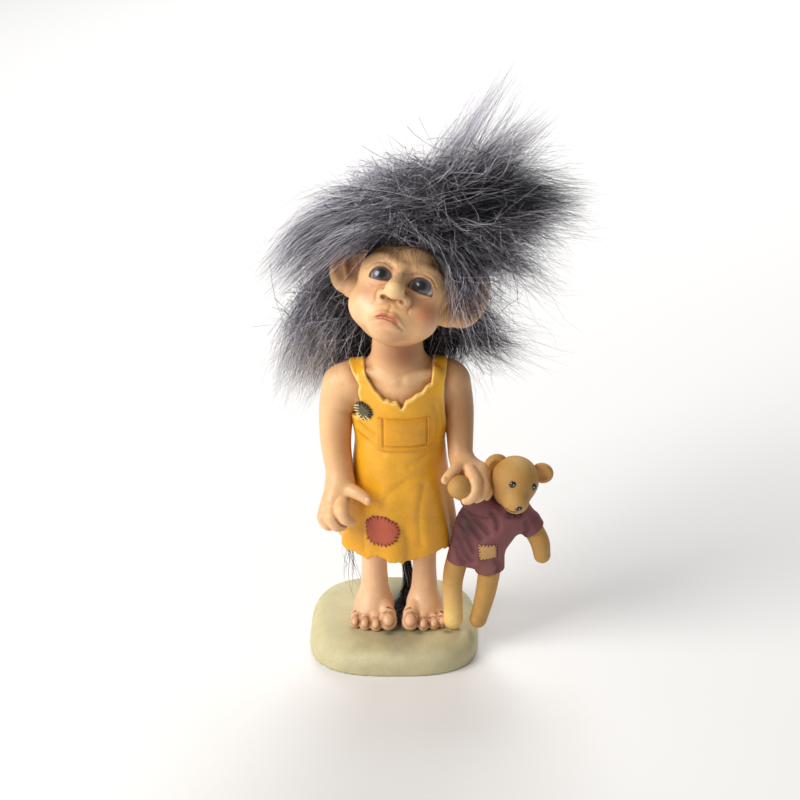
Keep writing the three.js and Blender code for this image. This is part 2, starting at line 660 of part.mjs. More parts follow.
for (const side of ['right', 'left']) {
  const { centre, size, turn } = BEAR.ears[side];
  const ear = solid(ellipsoid(centre, size, { turn, detail: 10 }));
  addPiece(`bear_${side}_ear`, cut(ear, ...bearHeadCut(), handCut()), 'bear');
  addPiece(`bear_${side}_eye`, bearEye(side), 'black');
  const arm = solid(limb(BEAR.arms[side], { sides: 9, steps: 5 }));
  const armCuts = [...bearShirtCut(), ...bearHeadCut(), handCut(), dressOuter(GLUE_GAP)];
  addPiece(`bear_${side}_arm`, cut(arm, ...armCuts), 'bear');
  const leg = solid(limb(BEAR.legs[side], { sides: 9, steps: 6 }));
  const legCuts = [baseBody(), legBody(LEGS.left, GLUE_GAP), dressOuter(GLUE_GAP), bearFootPin(GLUE_GAP)];
  addPiece(`bear_${side}_leg`, cut(leg, ...bearShirtCut(), ...legCuts), 'bear');
}

export default figure;
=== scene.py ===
"""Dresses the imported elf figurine: painted resin castings, a fur wig and tail, a toy bear and a plinth.

Lengths are millimetres in the figure's frame, +Z up and facing -Y, and become metres when a mesh is made.
Left and right are the figure's own. Castings are shaped as distance fields: negative inside, zero at the
surface.
"""
import math

import bpy
import numpy as np
from mathutils import Euler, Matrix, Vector


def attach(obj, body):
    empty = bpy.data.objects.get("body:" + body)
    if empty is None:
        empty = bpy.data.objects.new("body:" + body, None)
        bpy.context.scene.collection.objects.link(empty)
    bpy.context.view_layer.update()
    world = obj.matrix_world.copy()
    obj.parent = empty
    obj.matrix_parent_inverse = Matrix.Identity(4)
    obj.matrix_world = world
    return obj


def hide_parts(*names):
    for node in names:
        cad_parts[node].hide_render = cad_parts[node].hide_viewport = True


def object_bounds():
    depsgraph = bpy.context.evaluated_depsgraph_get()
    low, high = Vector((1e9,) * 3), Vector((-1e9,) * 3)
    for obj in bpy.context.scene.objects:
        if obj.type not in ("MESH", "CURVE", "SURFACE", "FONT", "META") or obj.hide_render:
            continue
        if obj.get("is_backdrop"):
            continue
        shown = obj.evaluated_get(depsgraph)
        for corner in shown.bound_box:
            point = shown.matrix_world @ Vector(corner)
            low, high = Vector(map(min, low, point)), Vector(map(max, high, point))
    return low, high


MM = 0.001
# The grid cells that each kind of surface is found on, and how many cells a block of the grid is wide.
SKIN_CELL = 0.32
LEG_CELL = 0.28
DRESS_CELL = 0.4
TRIM_CELL = 0.25
BEAR_CELL = 0.32
BEAD_CELL = 0.12
BASE_CELL = 0.6
UNDERCOAT_CELL = 1.0
BLOCK = 4
# A distance that stands for far away, and the least number that keeps a division safe.
FAR = 50.0
TINY = 1e-9

# The camera stands where the photograph's did, looking down on the figure.
CAMERA_TARGET = (1.8, 0, 82.5)
CAMERA_DISTANCE = 550
CAMERA_ELEVATION = 25
CAMERA_LENS = 82.5
CAMERA_SENSOR = 36

# The plinth: half its width and front depth, the depth of its rear, its height, and how square it is.
BASE_HALF = (26.5, 24.2)
BASE_BACK = 26.4
BASE_HEIGHT = 8.0
BASE_SQUARENESS = 3.0
# How far the feet keep off the plinth.
FOOT_GAP = 0.05
HEM_HEIGHT = 35.0
DRESS_THICKNESS = 1.8
STRAP_THICKNESS = 0.75
# The heights between which the dress thins into its straps.
STRAP_HEIGHTS = (88, 95)

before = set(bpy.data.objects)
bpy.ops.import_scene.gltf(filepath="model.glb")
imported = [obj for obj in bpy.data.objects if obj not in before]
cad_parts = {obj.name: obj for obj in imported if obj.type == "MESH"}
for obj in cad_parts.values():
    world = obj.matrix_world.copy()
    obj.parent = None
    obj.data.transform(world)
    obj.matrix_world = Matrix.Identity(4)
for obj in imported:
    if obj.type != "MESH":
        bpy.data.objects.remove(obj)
cad_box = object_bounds()


def turn_matrix(pitch=0, roll=0, yaw=0):
    """Roll about Y, then pitch about X, then yaw about Z, in degrees."""
    angles = [math.radians(a) for a in (pitch, roll, yaw)]
    return np.array(Euler(angles, "YXZ").to_matrix())


HEAD_CENTRE = np.array([2.2, -4.0, 118.4])
HEAD_TURN = turn_matrix(pitch=-29, roll=14.8, yaw=-6)


# Distance fields

def smooth_join(a, b, radius):
    share = np.clip(0.5 + 0.5 * (b - a) / radius, 0, 1)
    return b * (1 - share) + a * share - radius * share * (1 - share)


def smooth_cut(body, tool, radius):
    return -smooth_join(-body, tool, radius)


def ellipsoid(points, centre, radii, turn=None):
    local = points - np.array(centre, float) + TINY
    if turn is not None:
        local = local @ turn
    radii = np.array(radii, float)
    near = np.linalg.norm(local / radii, axis=1)
    steep = np.linalg.norm(local / radii**2, axis=1)
    return near * (near - 1) / steep


def chain(points, stations):
    """A round limb through stations (x, y, z, radius)."""
    result = np.full(len(points), FAR)
    for start, end in zip(stations, stations[1:]):
        a = np.array(start[:3], float)
        along = np.array(end[:3], float) - a
        share = np.clip((points - a) @ along / (along @ along), 0, 1)
        gap = np.linalg.norm(points - a - share[:, None] * along, axis=1)
        result = np.minimum(result, gap - start[3] - share * (end[3] - start[3]))
    return result


def spline(stations, steps=5):
    """More stations along a smooth curve through the given ones."""
    knots = np.array(stations, float)
    knots = np.vstack([2 * knots[0] - knots[1], knots, 2 * knots[-1] - knots[-2]])
    smooth = []
    for i in range(1, len(knots) - 2):
        p0, p1, p2, p3 = knots[i - 1:i + 3]
        for t in np.arange(steps) / steps:
            smooth.append(0.5 * (2 * p1 + (p2 - p0) * t + (2 * p0 - 5 * p1 + 4 * p2 - p3) * t**2
                                 + (3 * p1 - p0 - 3 * p2 + p3) * t**3))
    smooth.append(knots[-2])
    return np.array(smooth)


def loft(points, sections, fold=None):
    """A body of level ellipses (height, half-width, half-depth, centre x, centre y)."""
    heights, *columns = spline(sections).T
    a, b, x, y = (np.interp(points[:, 2], heights, column) for column in columns)
    u = (points[:, 0] - x) / a + TINY
    v = (points[:, 1] - y) / b
    near = np.hypot(u, v)
    distance = near * (near - 1) / np.hypot(u / a, v / b)
    if fold is not None:
        distance = distance - fold(np.arctan2(v, u), points[:, 2])
    return distance


def inside_box(points, low, high, field):
    """The field near its own box, and a large distance elsewhere, to save work."""
    near = np.all((points > np.array(low)) & (points < np.array(high)), axis=1)
    result = np.full(len(points), FAR)
    if near.any():
        result[near] = field(points[near])
    return result


def outline_distance(points, outline):
    """Distance in the front view (x, z) to a closed outline, negative inside."""
    flat = points[:, [0, 2]]
    ring = np.array(outline, float)
    nearest = np.full(len(flat), np.inf)
    within = np.zeros(len(flat), bool)
    for a, b in zip(ring, np.roll(ring, -1, axis=0)):
        along = b - a
        share = np.clip((flat - a) @ along / (along @ along), 0, 1)
        nearest = np.minimum(nearest, np.linalg.norm(flat - a - share[:, None] * along, axis=1))
        rises = (a[1] > flat[:, 1]) != (b[1] > flat[:, 1])
        height = np.where(b[1] == a[1], TINY, b[1] - a[1])
        within ^= rises & (flat[:, 0] < (b[0] - a[0]) * (flat[:, 1] - a[1]) / height + a[0])
    return np.where(within, -nearest, nearest)


def front_of(field, places, start=-40.0, stop=20.0, step=0.1):
    """The points where lines along +Y at the given (x, z) first meet the field."""
    places = np.asarray(places, float)
    depths = np.arange(start, stop, step)
    lines = np.empty((len(places), len(depths), 3))
    lines[..., 0] = places[:, :1]
    lines[..., 1] = depths
    lines[..., 2] = places[:, 1:]
    inside = sampled(field, lines.reshape(-1, 3)).reshape(lines.shape[:2]) < 0
    return np.column_stack([places[:, 0], depths[np.argmax(inside, axis=1)], places[:, 1]])


def drawn(field, route, depth, softness):
    """A groove over the field's front along a route (x, z), as stations that cut it to the given depth."""
    places = front_of(field, spline(route, 6))
    radius = softness * (2 * math.sqrt(depth / softness) - 1)
    return np.column_stack([places, np.full(len(places), radius)])


def drawn_folds(field, folds):
    """The softness and stations of each fold, given as depth, softness and route."""
    return [(softness, drawn(field, route, depth, softness)) for depth, softness, route in folds]


def above_base(points):
    """Keeps what stands on the plinth out of it."""
    return BASE_HEIGHT + FOOT_GAP - points[:, 2]


def box_round(places, room):
    """The corners of a box round the places, with room on every side."""
    places = np.atleast_2d(places)
    return places.min(axis=0) - room, places.max(axis=0) + room


# Surfaces from fields

CORNERS = np.array([(i, j, k) for i in (0, 1) for j in (0, 1) for k in (0, 1)])
CUBE_EDGES = [
    (a, b) for a in range(8) for b in range(a + 1, 8) if np.abs(CORNERS[a] - CORNERS[b]).sum() == 1
]
# Settling a vertex: the sampling step and the longest move, in cells, and the least squared slope.
SETTLE_STEP = 0.3
SETTLE_MOVE = 0.6
LEAST_SLOPE = 0.2


def sampled(field, points, chunk=200000):
    return np.concatenate([field(points[i:i + chunk]) for i in range(0, len(points), chunk)])


def lattice(counts):
    """Every place of a grid with the given counts, in whole steps."""
    return np.stack(np.meshgrid(*[np.arange(n) for n in counts], indexing="ij"), -1).reshape(-1, 3)


def grid_values(field, low, counts, cell):
    """Field values on a grid, worked out in full only in blocks near the surface."""
    blocks = lattice(counts // BLOCK)
    middle = sampled(field, low + (blocks * BLOCK + (BLOCK - 1) / 2) * cell)
    values = np.repeat(np.sign(middle) * FAR, BLOCK**3).reshape(-1, BLOCK**3)
    places = blocks[:, None] * BLOCK + lattice([BLOCK] * 3)
    active = np.abs(middle) < 2 * BLOCK * cell
    values[active] = sampled(field, low + places[active].reshape(-1, 3) * cell).reshape(-1, BLOCK**3)
    grid = np.empty(counts)
    grid[tuple(places.reshape(-1, 3).T)] = values.reshape(-1)
    return grid


def surface_net(field, low, high, cell):
    """Vertices and quads of the field's zero surface, one vertex to each cell that it crosses."""
    low = np.array(low, float)
    counts = (np.ceil((np.array(high) - low) / cell / BLOCK).astype(int) + 1) * BLOCK
    values = grid_values(field, low, counts, cell)
    inside = values < 0
    n = counts - 1
    filled = sum(inside[i:n[0] + i, j:n[1] + j, k:n[2] + k].astype(np.int8) for i, j, k in CORNERS)
    mixed = (filled > 0) & (filled < 8)
    cells = np.argwhere(mixed)
    number = np.full(mixed.shape, -1)
    number[mixed] = np.arange(len(cells))
    ends = np.stack([values[tuple((cells + corner).T)] for corner in CORNERS], axis=1)
    total = np.zeros((len(cells), 3))
    hits = np.zeros((len(cells), 1))
    for a, b in CUBE_EDGES:
        crossing = (ends[:, a] < 0) != (ends[:, b] < 0)
        span = np.where(crossing, ends[:, a] - ends[:, b], 1)
        share = (ends[:, a] / span)[:, None]
        total += crossing[:, None] * (CORNERS[a] + share * (CORNERS[b] - CORNERS[a]))
        hits += crossing[:, None]
    vertices = low + (cells + total / hits) * cell
    quads = [edge_quads(inside, number, axis) for axis in range(3)]
    return settled(field, vertices, cell), np.concatenate(quads)


def edge_quads(inside, number, axis):
    """The quads round every grid edge along one axis that passes through the surface."""
    first = np.delete(inside, -1, axis)
    second = np.delete(inside, 0, axis)
    edges = np.argwhere(first != second)
    u, v = np.eye(3, dtype=int)[[(axis + 1) % 3, (axis + 2) % 3]]
    limit = np.array(number.shape)
    edges = edges[np.all((edges - u - v >= 0) & (edges < limit), axis=1)]
    around = [edges, edges - u, edges - u - v, edges - v]
    quads = np.stack([number[tuple(place.T)] for place in around], axis=1)
    leaving = first[tuple(edges.T)]
    quads[~leaving] = quads[~leaving][:, ::-1]
    return quads


def settled(field, vertices, cell):
    """Vertices moved onto the zero surface by one step down the field's slope."""
    step = SETTLE_STEP * cell
    here = sampled(field, vertices)
    slope = np.stack([(sampled(field, vertices + step * axis) - here) / step for axis in np.eye(3)], axis=1)
    size = np.maximum((slope**2).sum(axis=1), LEAST_SLOPE)
    move = -(here / size)[:, None] * slope
    length = np.linalg.norm(move, axis=1, keepdims=True)
    return vertices + move * np.minimum(1, SETTLE_MOVE * cell / np.maximum(length, TINY))


def vertex_normals(vertices, quads):
    corners = vertices[quads]
    face = np.cross(corners[:, 2] - corners[:, 0], corners[:, 3] - corners[:, 1])
    normals = np.zeros_like(vertices)
    for k in range(4):
        np.add.at(normals, quads[:, k], face)
    return normals / np.maximum(np.linalg.norm(normals, axis=1, keepdims=True), 1e-12)


def hollows(field, vertices, normals, reach):
    """How far each vertex sits in a crease: 0 on open ground, towards 1 deep in one."""
    return np.clip(1 - sampled(field, vertices + reach * normals) / reach, 0, 1)


# Meshes and paint

def new_piece(name, vertices, faces, material, colours=None, normals=None):
    faces = np.asarray(faces, np.int32)
    mesh = bpy.data.meshes.new(name)
    mesh.vertices.add(len(vertices))
    mesh.vertices.foreach_set("co", (np.asarray(vertices) * MM).astype(np.float32).ravel())
    mesh.loops.add(faces.size)
    mesh.loops.foreach_set("vertex_index", faces.ravel())
    mesh.polygons.add(len(faces))
    mesh.polygons.foreach_set("loop_start", np.arange(0, faces.size, faces.shape[1], dtype=np.int32))
    mesh.update(calc_edges=True)
    mesh.polygons.foreach_set("use_smooth", np.ones(len(mesh.polygons), bool))
    if colours is not None:
        layer = mesh.attributes.new("paint", "FLOAT_COLOR", "POINT")
        rgba = np.column_stack([colours, np.ones(len(colours))])
        layer.data.foreach_set("color", rgba.astype(np.float32).ravel())
    if normals is not None:
        mesh.normals_split_custom_set_from_vertices(normals.tolist())
    mesh.materials.append(material)
    piece = bpy.data.objects.new(name, mesh)
    bpy.context.collection.objects.link(piece)
    return piece


def part_of(vertices, quads, keep):
    """The vertices and quads of the kept faces, renumbered, with the old vertex numbers."""
    chosen = quads[keep]
    used, renumbered = np.unique(chosen, return_inverse=True)
    return used, renumbered.reshape(chosen.shape)


def show(piece, slot, *nodes):
    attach(piece, "root")
    if nodes:
        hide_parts(*nodes)
    return piece


def srgb(code):
    """A colour written as in a paint chart, as linear light."""
    values = np.array([int(code[i:i + 2], 16) for i in (0, 2, 4)]) / 255
    return np.where(values <= 0.04045, values / 12.92, ((values + 0.055) / 1.055) ** 2.4)


def tinted(colours, tint, share):
    return colours + (srgb(tint) - colours) * np.clip(share, 0, 1)[:, None]


def spot(points, centre, radii):
    """1 at the centre, fading smoothly to 0 about two radii away."""
    return np.exp(-(((points - np.array(centre)) / np.array(radii)) ** 2).sum(axis=1))


def coated(vertices, colour):
    return np.tile(srgb(colour), (len(vertices), 1))


def dabbed(colours, points, dabs):
    """Soft dabs of paint: the tint, strength, middle and reach of each."""
    for tint, share, centre, radii in dabs:
        colours = tinted(colours, tint, share * spot(points, centre, radii))
    return colours


def washed_and_shaded(colours, shade_wash, share, crease, start, span):
    """A thin dark wash, and painted shade, in the creases, from the start of their depth over a span of it.
    """
    return tinted(colours, shade_wash, share * np.clip((crease - start) / span, 0, 1))


def shade_washed_paint(colour, shade_wash, share, start, span, extra=None):
    """Paint of one colour, what is dabbed on it, and then the dark wash and painted shade in its creases."""
    def paint(vertices, crease):
        colours = coated(vertices, colour)
        if extra is not None:
            colours = extra(vertices, colours)
        return washed_and_shaded(colours, shade_wash, share, crease, start, span)
    return paint


def casting(name, slot, node, field, box, cell, material, paint, crease_reach=1.0):
    """A painted casting: the field's surface in its box, coloured by paint(vertices, crease)."""
    vertices, quads = surface_net(field, *box, cell)
    normals = vertex_normals(vertices, quads)
    colours = paint(vertices, hollows(field, vertices, normals, crease_reach))
    show(new_piece(name, vertices, quads, material, colours, normals), slot, node)


def new_material(name):
    """A node material, with its links and its shader's inputs."""
    material = bpy.data.materials.new(name)
    material.use_nodes = True
    return material, material.node_tree.links, material.node_tree.nodes["Principled BSDF"].inputs


def add_node(material, kind, **settings):
    node = material.node_tree.nodes.new(kind)
    for key, value in settings.items():
        setattr(node, key, value)
    return node


def scaled(material, colour, factor):
    """A colour made lighter or darker by a factor."""
    node = add_node(material, "ShaderNodeVectorMath", operation="SCALE")
    material.node_tree.links.new(colour, node.inputs["Vector"])
    material.node_tree.links.new(factor, node.inputs["Scale"])
    return node.outputs["Vector"]


def noise_node(material, size_mm, detail=3):
    """Noise in the object's own space with features about the given size."""
    place = add_node(material, "ShaderNodeTexCoord")
    noise = add_node(material, "ShaderNodeTexNoise")
    noise.inputs["Scale"].default_value = 1 / (size_mm * MM)
    noise.inputs["Detail"].default_value = detail
    material.node_tree.links.new(place.outputs["Object"], noise.inputs["Vector"])
    return noise


def mapped(material, source, low, high, start=0.3, stop=0.7):
    node = add_node(material, "ShaderNodeMapRange")
    for name, value in (("From Min", start), ("From Max", stop), ("To Min", low), ("To Max", high)):
        node.inputs[name].default_value = value
    material.node_tree.links.new(source, node.inputs["Value"])
    return node.outputs["Result"]


# The size of the paint's broad mottling and of its specks, and its clear coat's roughness.
MOTTLE_SIZE = 5
SPECK_SIZE = 0.9
COAT_ROUGHNESS = 0.3


def paint_material(name, gloss, mottle, grain_mm, grain_depth, coat=0.0):
    """Brushed-on paint: the mesh's own colours, mottled, with an uneven gloss and a fine grain."""
    material, links, inputs = new_material(name)
    inputs["Coat Weight"].default_value = coat
    inputs["Coat Roughness"].default_value = COAT_ROUGHNESS
    colour = add_node(material, "ShaderNodeAttribute", attribute_name="paint")
    broad = noise_node(material, MOTTLE_SIZE, 4).outputs["Fac"]
    fine = noise_node(material, SPECK_SIZE, 3).outputs["Fac"]
    both = add_node(material, "ShaderNodeMath", operation="MULTIPLY")
    links.new(mapped(material, broad, 1 - mottle, 1 + 0.5 * mottle), both.inputs[0])
    links.new(mapped(material, fine, 1 - 0.5 * mottle, 1 + 0.3 * mottle), both.inputs[1])
    links.new(scaled(material, colour.outputs["Color"], both.outputs["Value"]), inputs["Base Color"])
    links.new(mapped(material, broad, gloss - 0.07, gloss + 0.1), inputs["Roughness"])
    bump = add_node(material, "ShaderNodeBump")
    bump.inputs["Distance"].default_value = grain_depth * MM
    links.new(noise_node(material, grain_mm, 4).outputs["Fac"], bump.inputs["Height"])
    links.new(bump.outputs["Normal"], inputs["Normal"])
    return material


SKIN_PAINT = paint_material("skin_paint", 0.4, 0.07, 0.7, 0.05)
SATIN_PAINT = paint_material("satin_paint", 0.34, 0.1, 0.8, 0.06)
STONE_PAINT = paint_material("stone_paint", 0.62, 0.1, 0.5, 0.1)
BEAR_PAINT = paint_material("bear_paint", 0.62, 0.09, 0.5, 0.07)
MATTE_PAINT = paint_material("matte_paint", 0.7, 0.12, 0.6, 0.08)
GLOSS_PAINT = paint_material("gloss_paint", 0.1, 0.05, 0.8, 0.01, coat=0.9)


# The figure's skin: head, torso and arms flow into each other, so they are one field

EYE_PLACE = np.array([6.3, -7.6, 2.65])
EYE_RADIUS = 4.3
LID_THICKNESS = 0.45
EYE_DROOP = 6
RIGHT_EYE_IN = 0.6
EAR_TURN = turn_matrix(yaw=24)


def into_head(points):
    return (points - HEAD_CENTRE) @ HEAD_TURN


def out_of_head(local):
    return HEAD_CENTRE + np.asarray(local) @ HEAD_TURN.T


def folded(p):
    """Points of the head's frame moved onto its left half, since its halves match."""
    return np.column_stack([np.abs(p[:, 0]), p[:, 1], p[:, 2]])


def from_eye(p):
    """Where points are from the middle of the eye on their side. The right eye sits a little further in."""
    q = folded(p)
    q[:, 0] += np.where(p[:, 0] < 0, RIGHT_EYE_IN, 0)
    return q - EYE_PLACE


def eye_opening(p):
    """The gap between the lids: a high arch over a nearly straight lower lid. The right one is narrower."""
    local = from_eye(p) @ turn_matrix(roll=EYE_DROOP)
    size = np.where(p[:, 0] < 0, 0.9, 1.0)
    across, ahead, up = local[:, 0] / size, -local[:, 1], local[:, 2] / size
    upper = np.hypot(across, up + 1.45) - 3.7
    lower = np.hypot(across, up - 9.9) - 12.0
    return np.maximum(np.maximum(upper, lower), 1.0 - ahead)


# The skull's middle and half-sizes, and the swellings that join it: middle, half-sizes and softness.
SKULL = (np.array([0, 4.0, 6.5]), np.array([12.4, 15.0, 14.8]))
FACE_SWELLINGS = [
    ((0, -0.5, -4.0), (13.0, 12.3, 11.4), 4),
    ((7.2, -6.0, -6.2), (5.9, 5.9, 6.0), 3),
    ((0, -9.4, -12.6), (4.6, 3.8, 3.2), 3),
    ((0, -10.0, -8.6), (6.4, 4.5, 4.4), 3),
    ((6.3, -6.2, 3.0), (6.4, 5.2, 5.4), 3),
]
BROW = [(0.8, -10.8, 5.4, 0.5), (4.2, -10.5, 7.4, 0.6), (8.6, -8.2, 7.4, 0.5), (11.2, -5.4, 4.8, 0.4)]
NOSE = [(0, -11.6, 5.6, 1.3), (0, -14.2, 2.4, 1.8), (0, -16.8, -1.0, 2.9)]
UPPER_LIP = [
    (0, -14.6, -8.3, 0.7), (1.6, -14.6, -8.4, 0.85), (3.4, -13.6, -9.4, 0.65), (4.8, -12.4, -10.5, 0.3),
]
LOWER_LIP = [(0, -14.1, -10.4, 0.95), (2.0, -13.7, -10.7, 0.85), (4.2, -12.3, -11.3, 0.35)]


def face_shape(p):
    """The head in its own frame, without its ears, creases and eye openings."""
    q = folded(p)
    body = ellipsoid(q, *SKULL)
    for centre, radii, softness in FACE_SWELLINGS:
        body = smooth_join(body, ellipsoid(q, centre, radii), softness)
    body = smooth_join(body, chain(q, spline(BROW)), 3)
    body = smooth_cut(body, ellipsoid(q, (2.8, -13.6, 3.2), (1.4, 2.0, 1.5)), 2)
    lid = np.linalg.norm(from_eye(p), axis=1) - EYE_RADIUS - LID_THICKNESS
    body = smooth_join(body, lid, 0.9)
    body = smooth_join(body, chain(q, spline(NOSE)), 2.4)
    body = smooth_join(body, ellipsoid(q, (3.3, -13.8, -2.9), (1.6, 2.3, 1.6)), 1.6)
    for lip in (UPPER_LIP, LOWER_LIP):
        body = smooth_join(body, chain(q, spline(lip)), 0.9)
    return body


# Creases of the face: depth, softness, and a route over its left half as seen from the front.
CREASES = (
    (0.35, 0.5, [(0, -9.35), (1.6, -9.45), (3.3, -10.1), (5.2, -11.0)]),
    (0.15, 1.8, [(0, -12.5), (2.6, -12.8)]),
    (0.18, 0.6, [(4.2, -1.0), (5.2, -2.2), (5.3, -3.8), (4.9, -5.0), (5.3, -6.2)]),
    (0.25, 0.4, [(0.7, 4.2), (2.6, 4.9), (5.4, 6.0), (8.6, 5.4), (10.4, 3.4)]),
    (0.15, 0.9, [(2.9, 0.1), (6.2, -1.1), (9.9, 0.3)]),
    (0.25, 1.2, [(0, -5.6), (0, -7.2)]),
)
CREASE_ROUTES = drawn_folds(face_shape, CREASES)
# The depth in the head's frame that the creases lie in front of.
FACE_FRONT = -5.0


def face_field(p):
    body = face_shape(p)
    front = p[:, 1] < FACE_FRONT
    if front.any():
        body[front] = creased(body[front], p[front])
    return body


def creased(body, p):
    q = folded(p)
    for softness, route in CREASE_ROUTES:
        body = smooth_cut(body, chain(q, route), softness)
    body = smooth_cut(body, ellipsoid(q, (2.6, -15.7, -4.0), (0.85, 1.7, 0.6)), 0.4)
    return smooth_cut(body, eye_opening(p), 0.25)


def ear_field(p):
    q = folded(p)
    ear = ellipsoid(q, (17.2, 5.0, 5.4), (7.6, 2.3, 9.8), EAR_TURN)
    ear = smooth_cut(ear, ellipsoid(q, (18.0, 2.7, 5.8), (5.4, 2.6, 7.6), EAR_TURN), 1.0)
    ridge = [(14.4, 2.2, 11.0, 0.6), (18.0, 4.2, 10.6, 0.7), (19.8, 5.3, 6.0, 0.7), (17.4, 4.2, 0.6, 0.6)]
    ear = smooth_join(ear, chain(q, spline(ridge)), 1.2)
    ear = smooth_join(ear, ellipsoid(q, (12.4, -0.4, 2.2), (1.4, 1.6, 2.2)), 1.2)
    return smooth_join(ear, ellipsoid(q, (14.2, 3.0, -2.4), (3.2, 2.1, 3.0)), 2)


def head_field(points):
    p = into_head(points)
    return smooth_join(face_field(p), ear_field(p), 1.6)


def collar_bone(side):
    return [(2.2 + 1.8 * side, -7.6, 92.6, 0.6), (2.2 + 10 * side, -4.8, 94.0, 0.7)]


def torso_field(points):
    body = ellipsoid(points, (1.8, 0.6, 81), (13.2, 9.4, 15))
    yoke = chain(points, [(-12.2, 1.2, 88.4, 6.2), (15.8, 1.2, 89.2, 6.0)])
    neck = chain(points, spline([(1.6, 0.6, 91, 8.2), (1.1, -0.2, 98, 7.8), (1.1, -2.4, 110, 6.9)]))
    body = smooth_join(smooth_join(body, yoke, 4), neck, 4.5)
    for side in (-1, 1):
        body = smooth_join(body, chain(points, collar_bone(side)), 2.6)
    return smooth_cut(body, chain(points, [(0.8, -9.2, 93.4, 0.4), (3.4, -9.2, 94.0, 0.4)]), 1.0)


# The arms' stations (x, y, z, radius), and the thumb nail's middle and half-sizes.
RIGHT_ARM = {
    "arm": [
        (-15.6, 1.2, 87.5, 5.8), (-17.3, 0.4, 79, 5.3), (-17.6, -2.2, 70.3, 4.7),
        (-16.8, -4.8, 64, 4.3), (-16.0, -7.4, 59, 4.1),
    ],
    "palm": [(-16.6, -8.4, 57.6, 4.0), (-17.8, -10.4, 53.8, 4.2)],
    "thumb": [
        (-14.6, -9.8, 57.6, 2.6), (-11.4, -12.8, 57.9, 2.0),
        (-8.9, -14.2, 57.0, 1.7), (-7.9, -15.0, 56.2, 1.35),
    ],
    "fingers": [
        [
            (-15.4, -12.2, 55.2, 2.2), (-15.6, -15.4, 53.2, 2.1),
            (-14.6, -16.4, 50.9, 1.85), (-13.0, -15.6, 49.5, 1.45),
        ], [
            (-18.2, -12.0, 53.6, 2.3), (-18.8, -15.0, 50.8, 2.1),
            (-17.4, -15.8, 48.4, 1.85), (-15.6, -14.8, 47.4, 1.5),
        ], [
            (-20.4, -10.6, 52.4, 2.1), (-21.2, -13.0, 49.6, 1.9),
            (-20.0, -13.8, 47.4, 1.7), (-18.4, -13.0, 46.8, 1.4),
        ],
    ],
    "nail": ((-7.7, -15.9, 57.0), (0.85, 0.5, 0.9)),
}
LEFT_ARM = {
    "arm": [
        (17.6, 1.2, 88, 5.4), (19.3, 0.6, 80, 4.7), (19.9, -2.2, 70.6, 4.0),
        (20.0, -5.0, 66.6, 3.7), (20.6, -7.2, 64.2, 3.4),
    ],
    "palm": [(21.8, -8.0, 64.4, 3.5), (25.2, -9.4, 62.4, 4.0), (26.0, -10.2, 60.4, 3.6)],
    "thumb": [
        (19.9, -9.4, 65.6, 2.1), (17.8, -12.6, 65.0, 1.7),
        (16.0, -14.3, 63.9, 1.5), (15.2, -15.0, 63.2, 1.25),
    ],
    "fingers": [
        [
            (22.6, -11.6, 64.8, 2.0), (24.0, -15.2, 63.0, 1.9),
            (24.0, -17.3, 60.4, 1.7), (22.6, -18.2, 58.6, 1.5), (21.2, -18.4, 58.1, 1.2),
        ], [
            (26.0, -11.4, 63.0, 2.0), (26.7, -14.2, 60.8, 1.9),
            (25.8, -15.8, 58.6, 1.7), (24.4, -16.2, 57.4, 1.3),
        ], [
            (27.8, -9.6, 61.0, 1.9), (28.1, -12.2, 58.8, 1.8),
            (27.2, -13.8, 57.2, 1.6), (25.8, -14.2, 56.6, 1.25),
        ],
    ],
    "nail": ((14.9, -15.9, 63.9), (0.75, 0.5, 0.8)),
}
ARM_ROOM = 9
HEAD_ROOM = 36


def arm_field(points, arm):
    body = chain(points, spline(arm["arm"]))
    body = smooth_join(body, chain(points, arm["palm"]), 2.5)
    body = smooth_join(body, chain(points, spline(arm["thumb"])), 1.2)
    for finger in arm["fingers"]:
        knuckle = np.array(finger[1][:3]) - (0, 0.2, 0)
        bend = chain(points, spline(finger))
        bend = smooth_join(bend, np.linalg.norm(points - knuckle, axis=1) - finger[1][3] * 1.02, 0.5)
        body = smooth_join(body, bend, 0.45)
    centre, size = arm["nail"]
    return smooth_join(body, ellipsoid(points, centre, size), 0.15)


def arm_box(arm):
    stations = arm["arm"] + arm["palm"] + arm["thumb"] + sum(arm["fingers"], [])
    return box_round(np.array(stations)[:, :3], ARM_ROOM)


def skin_parts(points):
    """The fields of the head, torso, right arm and left arm."""
    parts = [inside_box(points, *box_round(HEAD_CENTRE, HEAD_ROOM), head_field), torso_field(points)]
    for arm in (RIGHT_ARM, LEFT_ARM):
        parts.append(inside_box(points, *arm_box(arm), lambda near, arm=arm: arm_field(near, arm)))
    return parts


def skin_field(points):
    head, torso, right_arm, left_arm = skin_parts(points)
    body = smooth_join(torso, head, 1.2)
    body = smooth_join(body, right_arm, 1.4)
    return smooth_join(body, left_arm, 1.4)
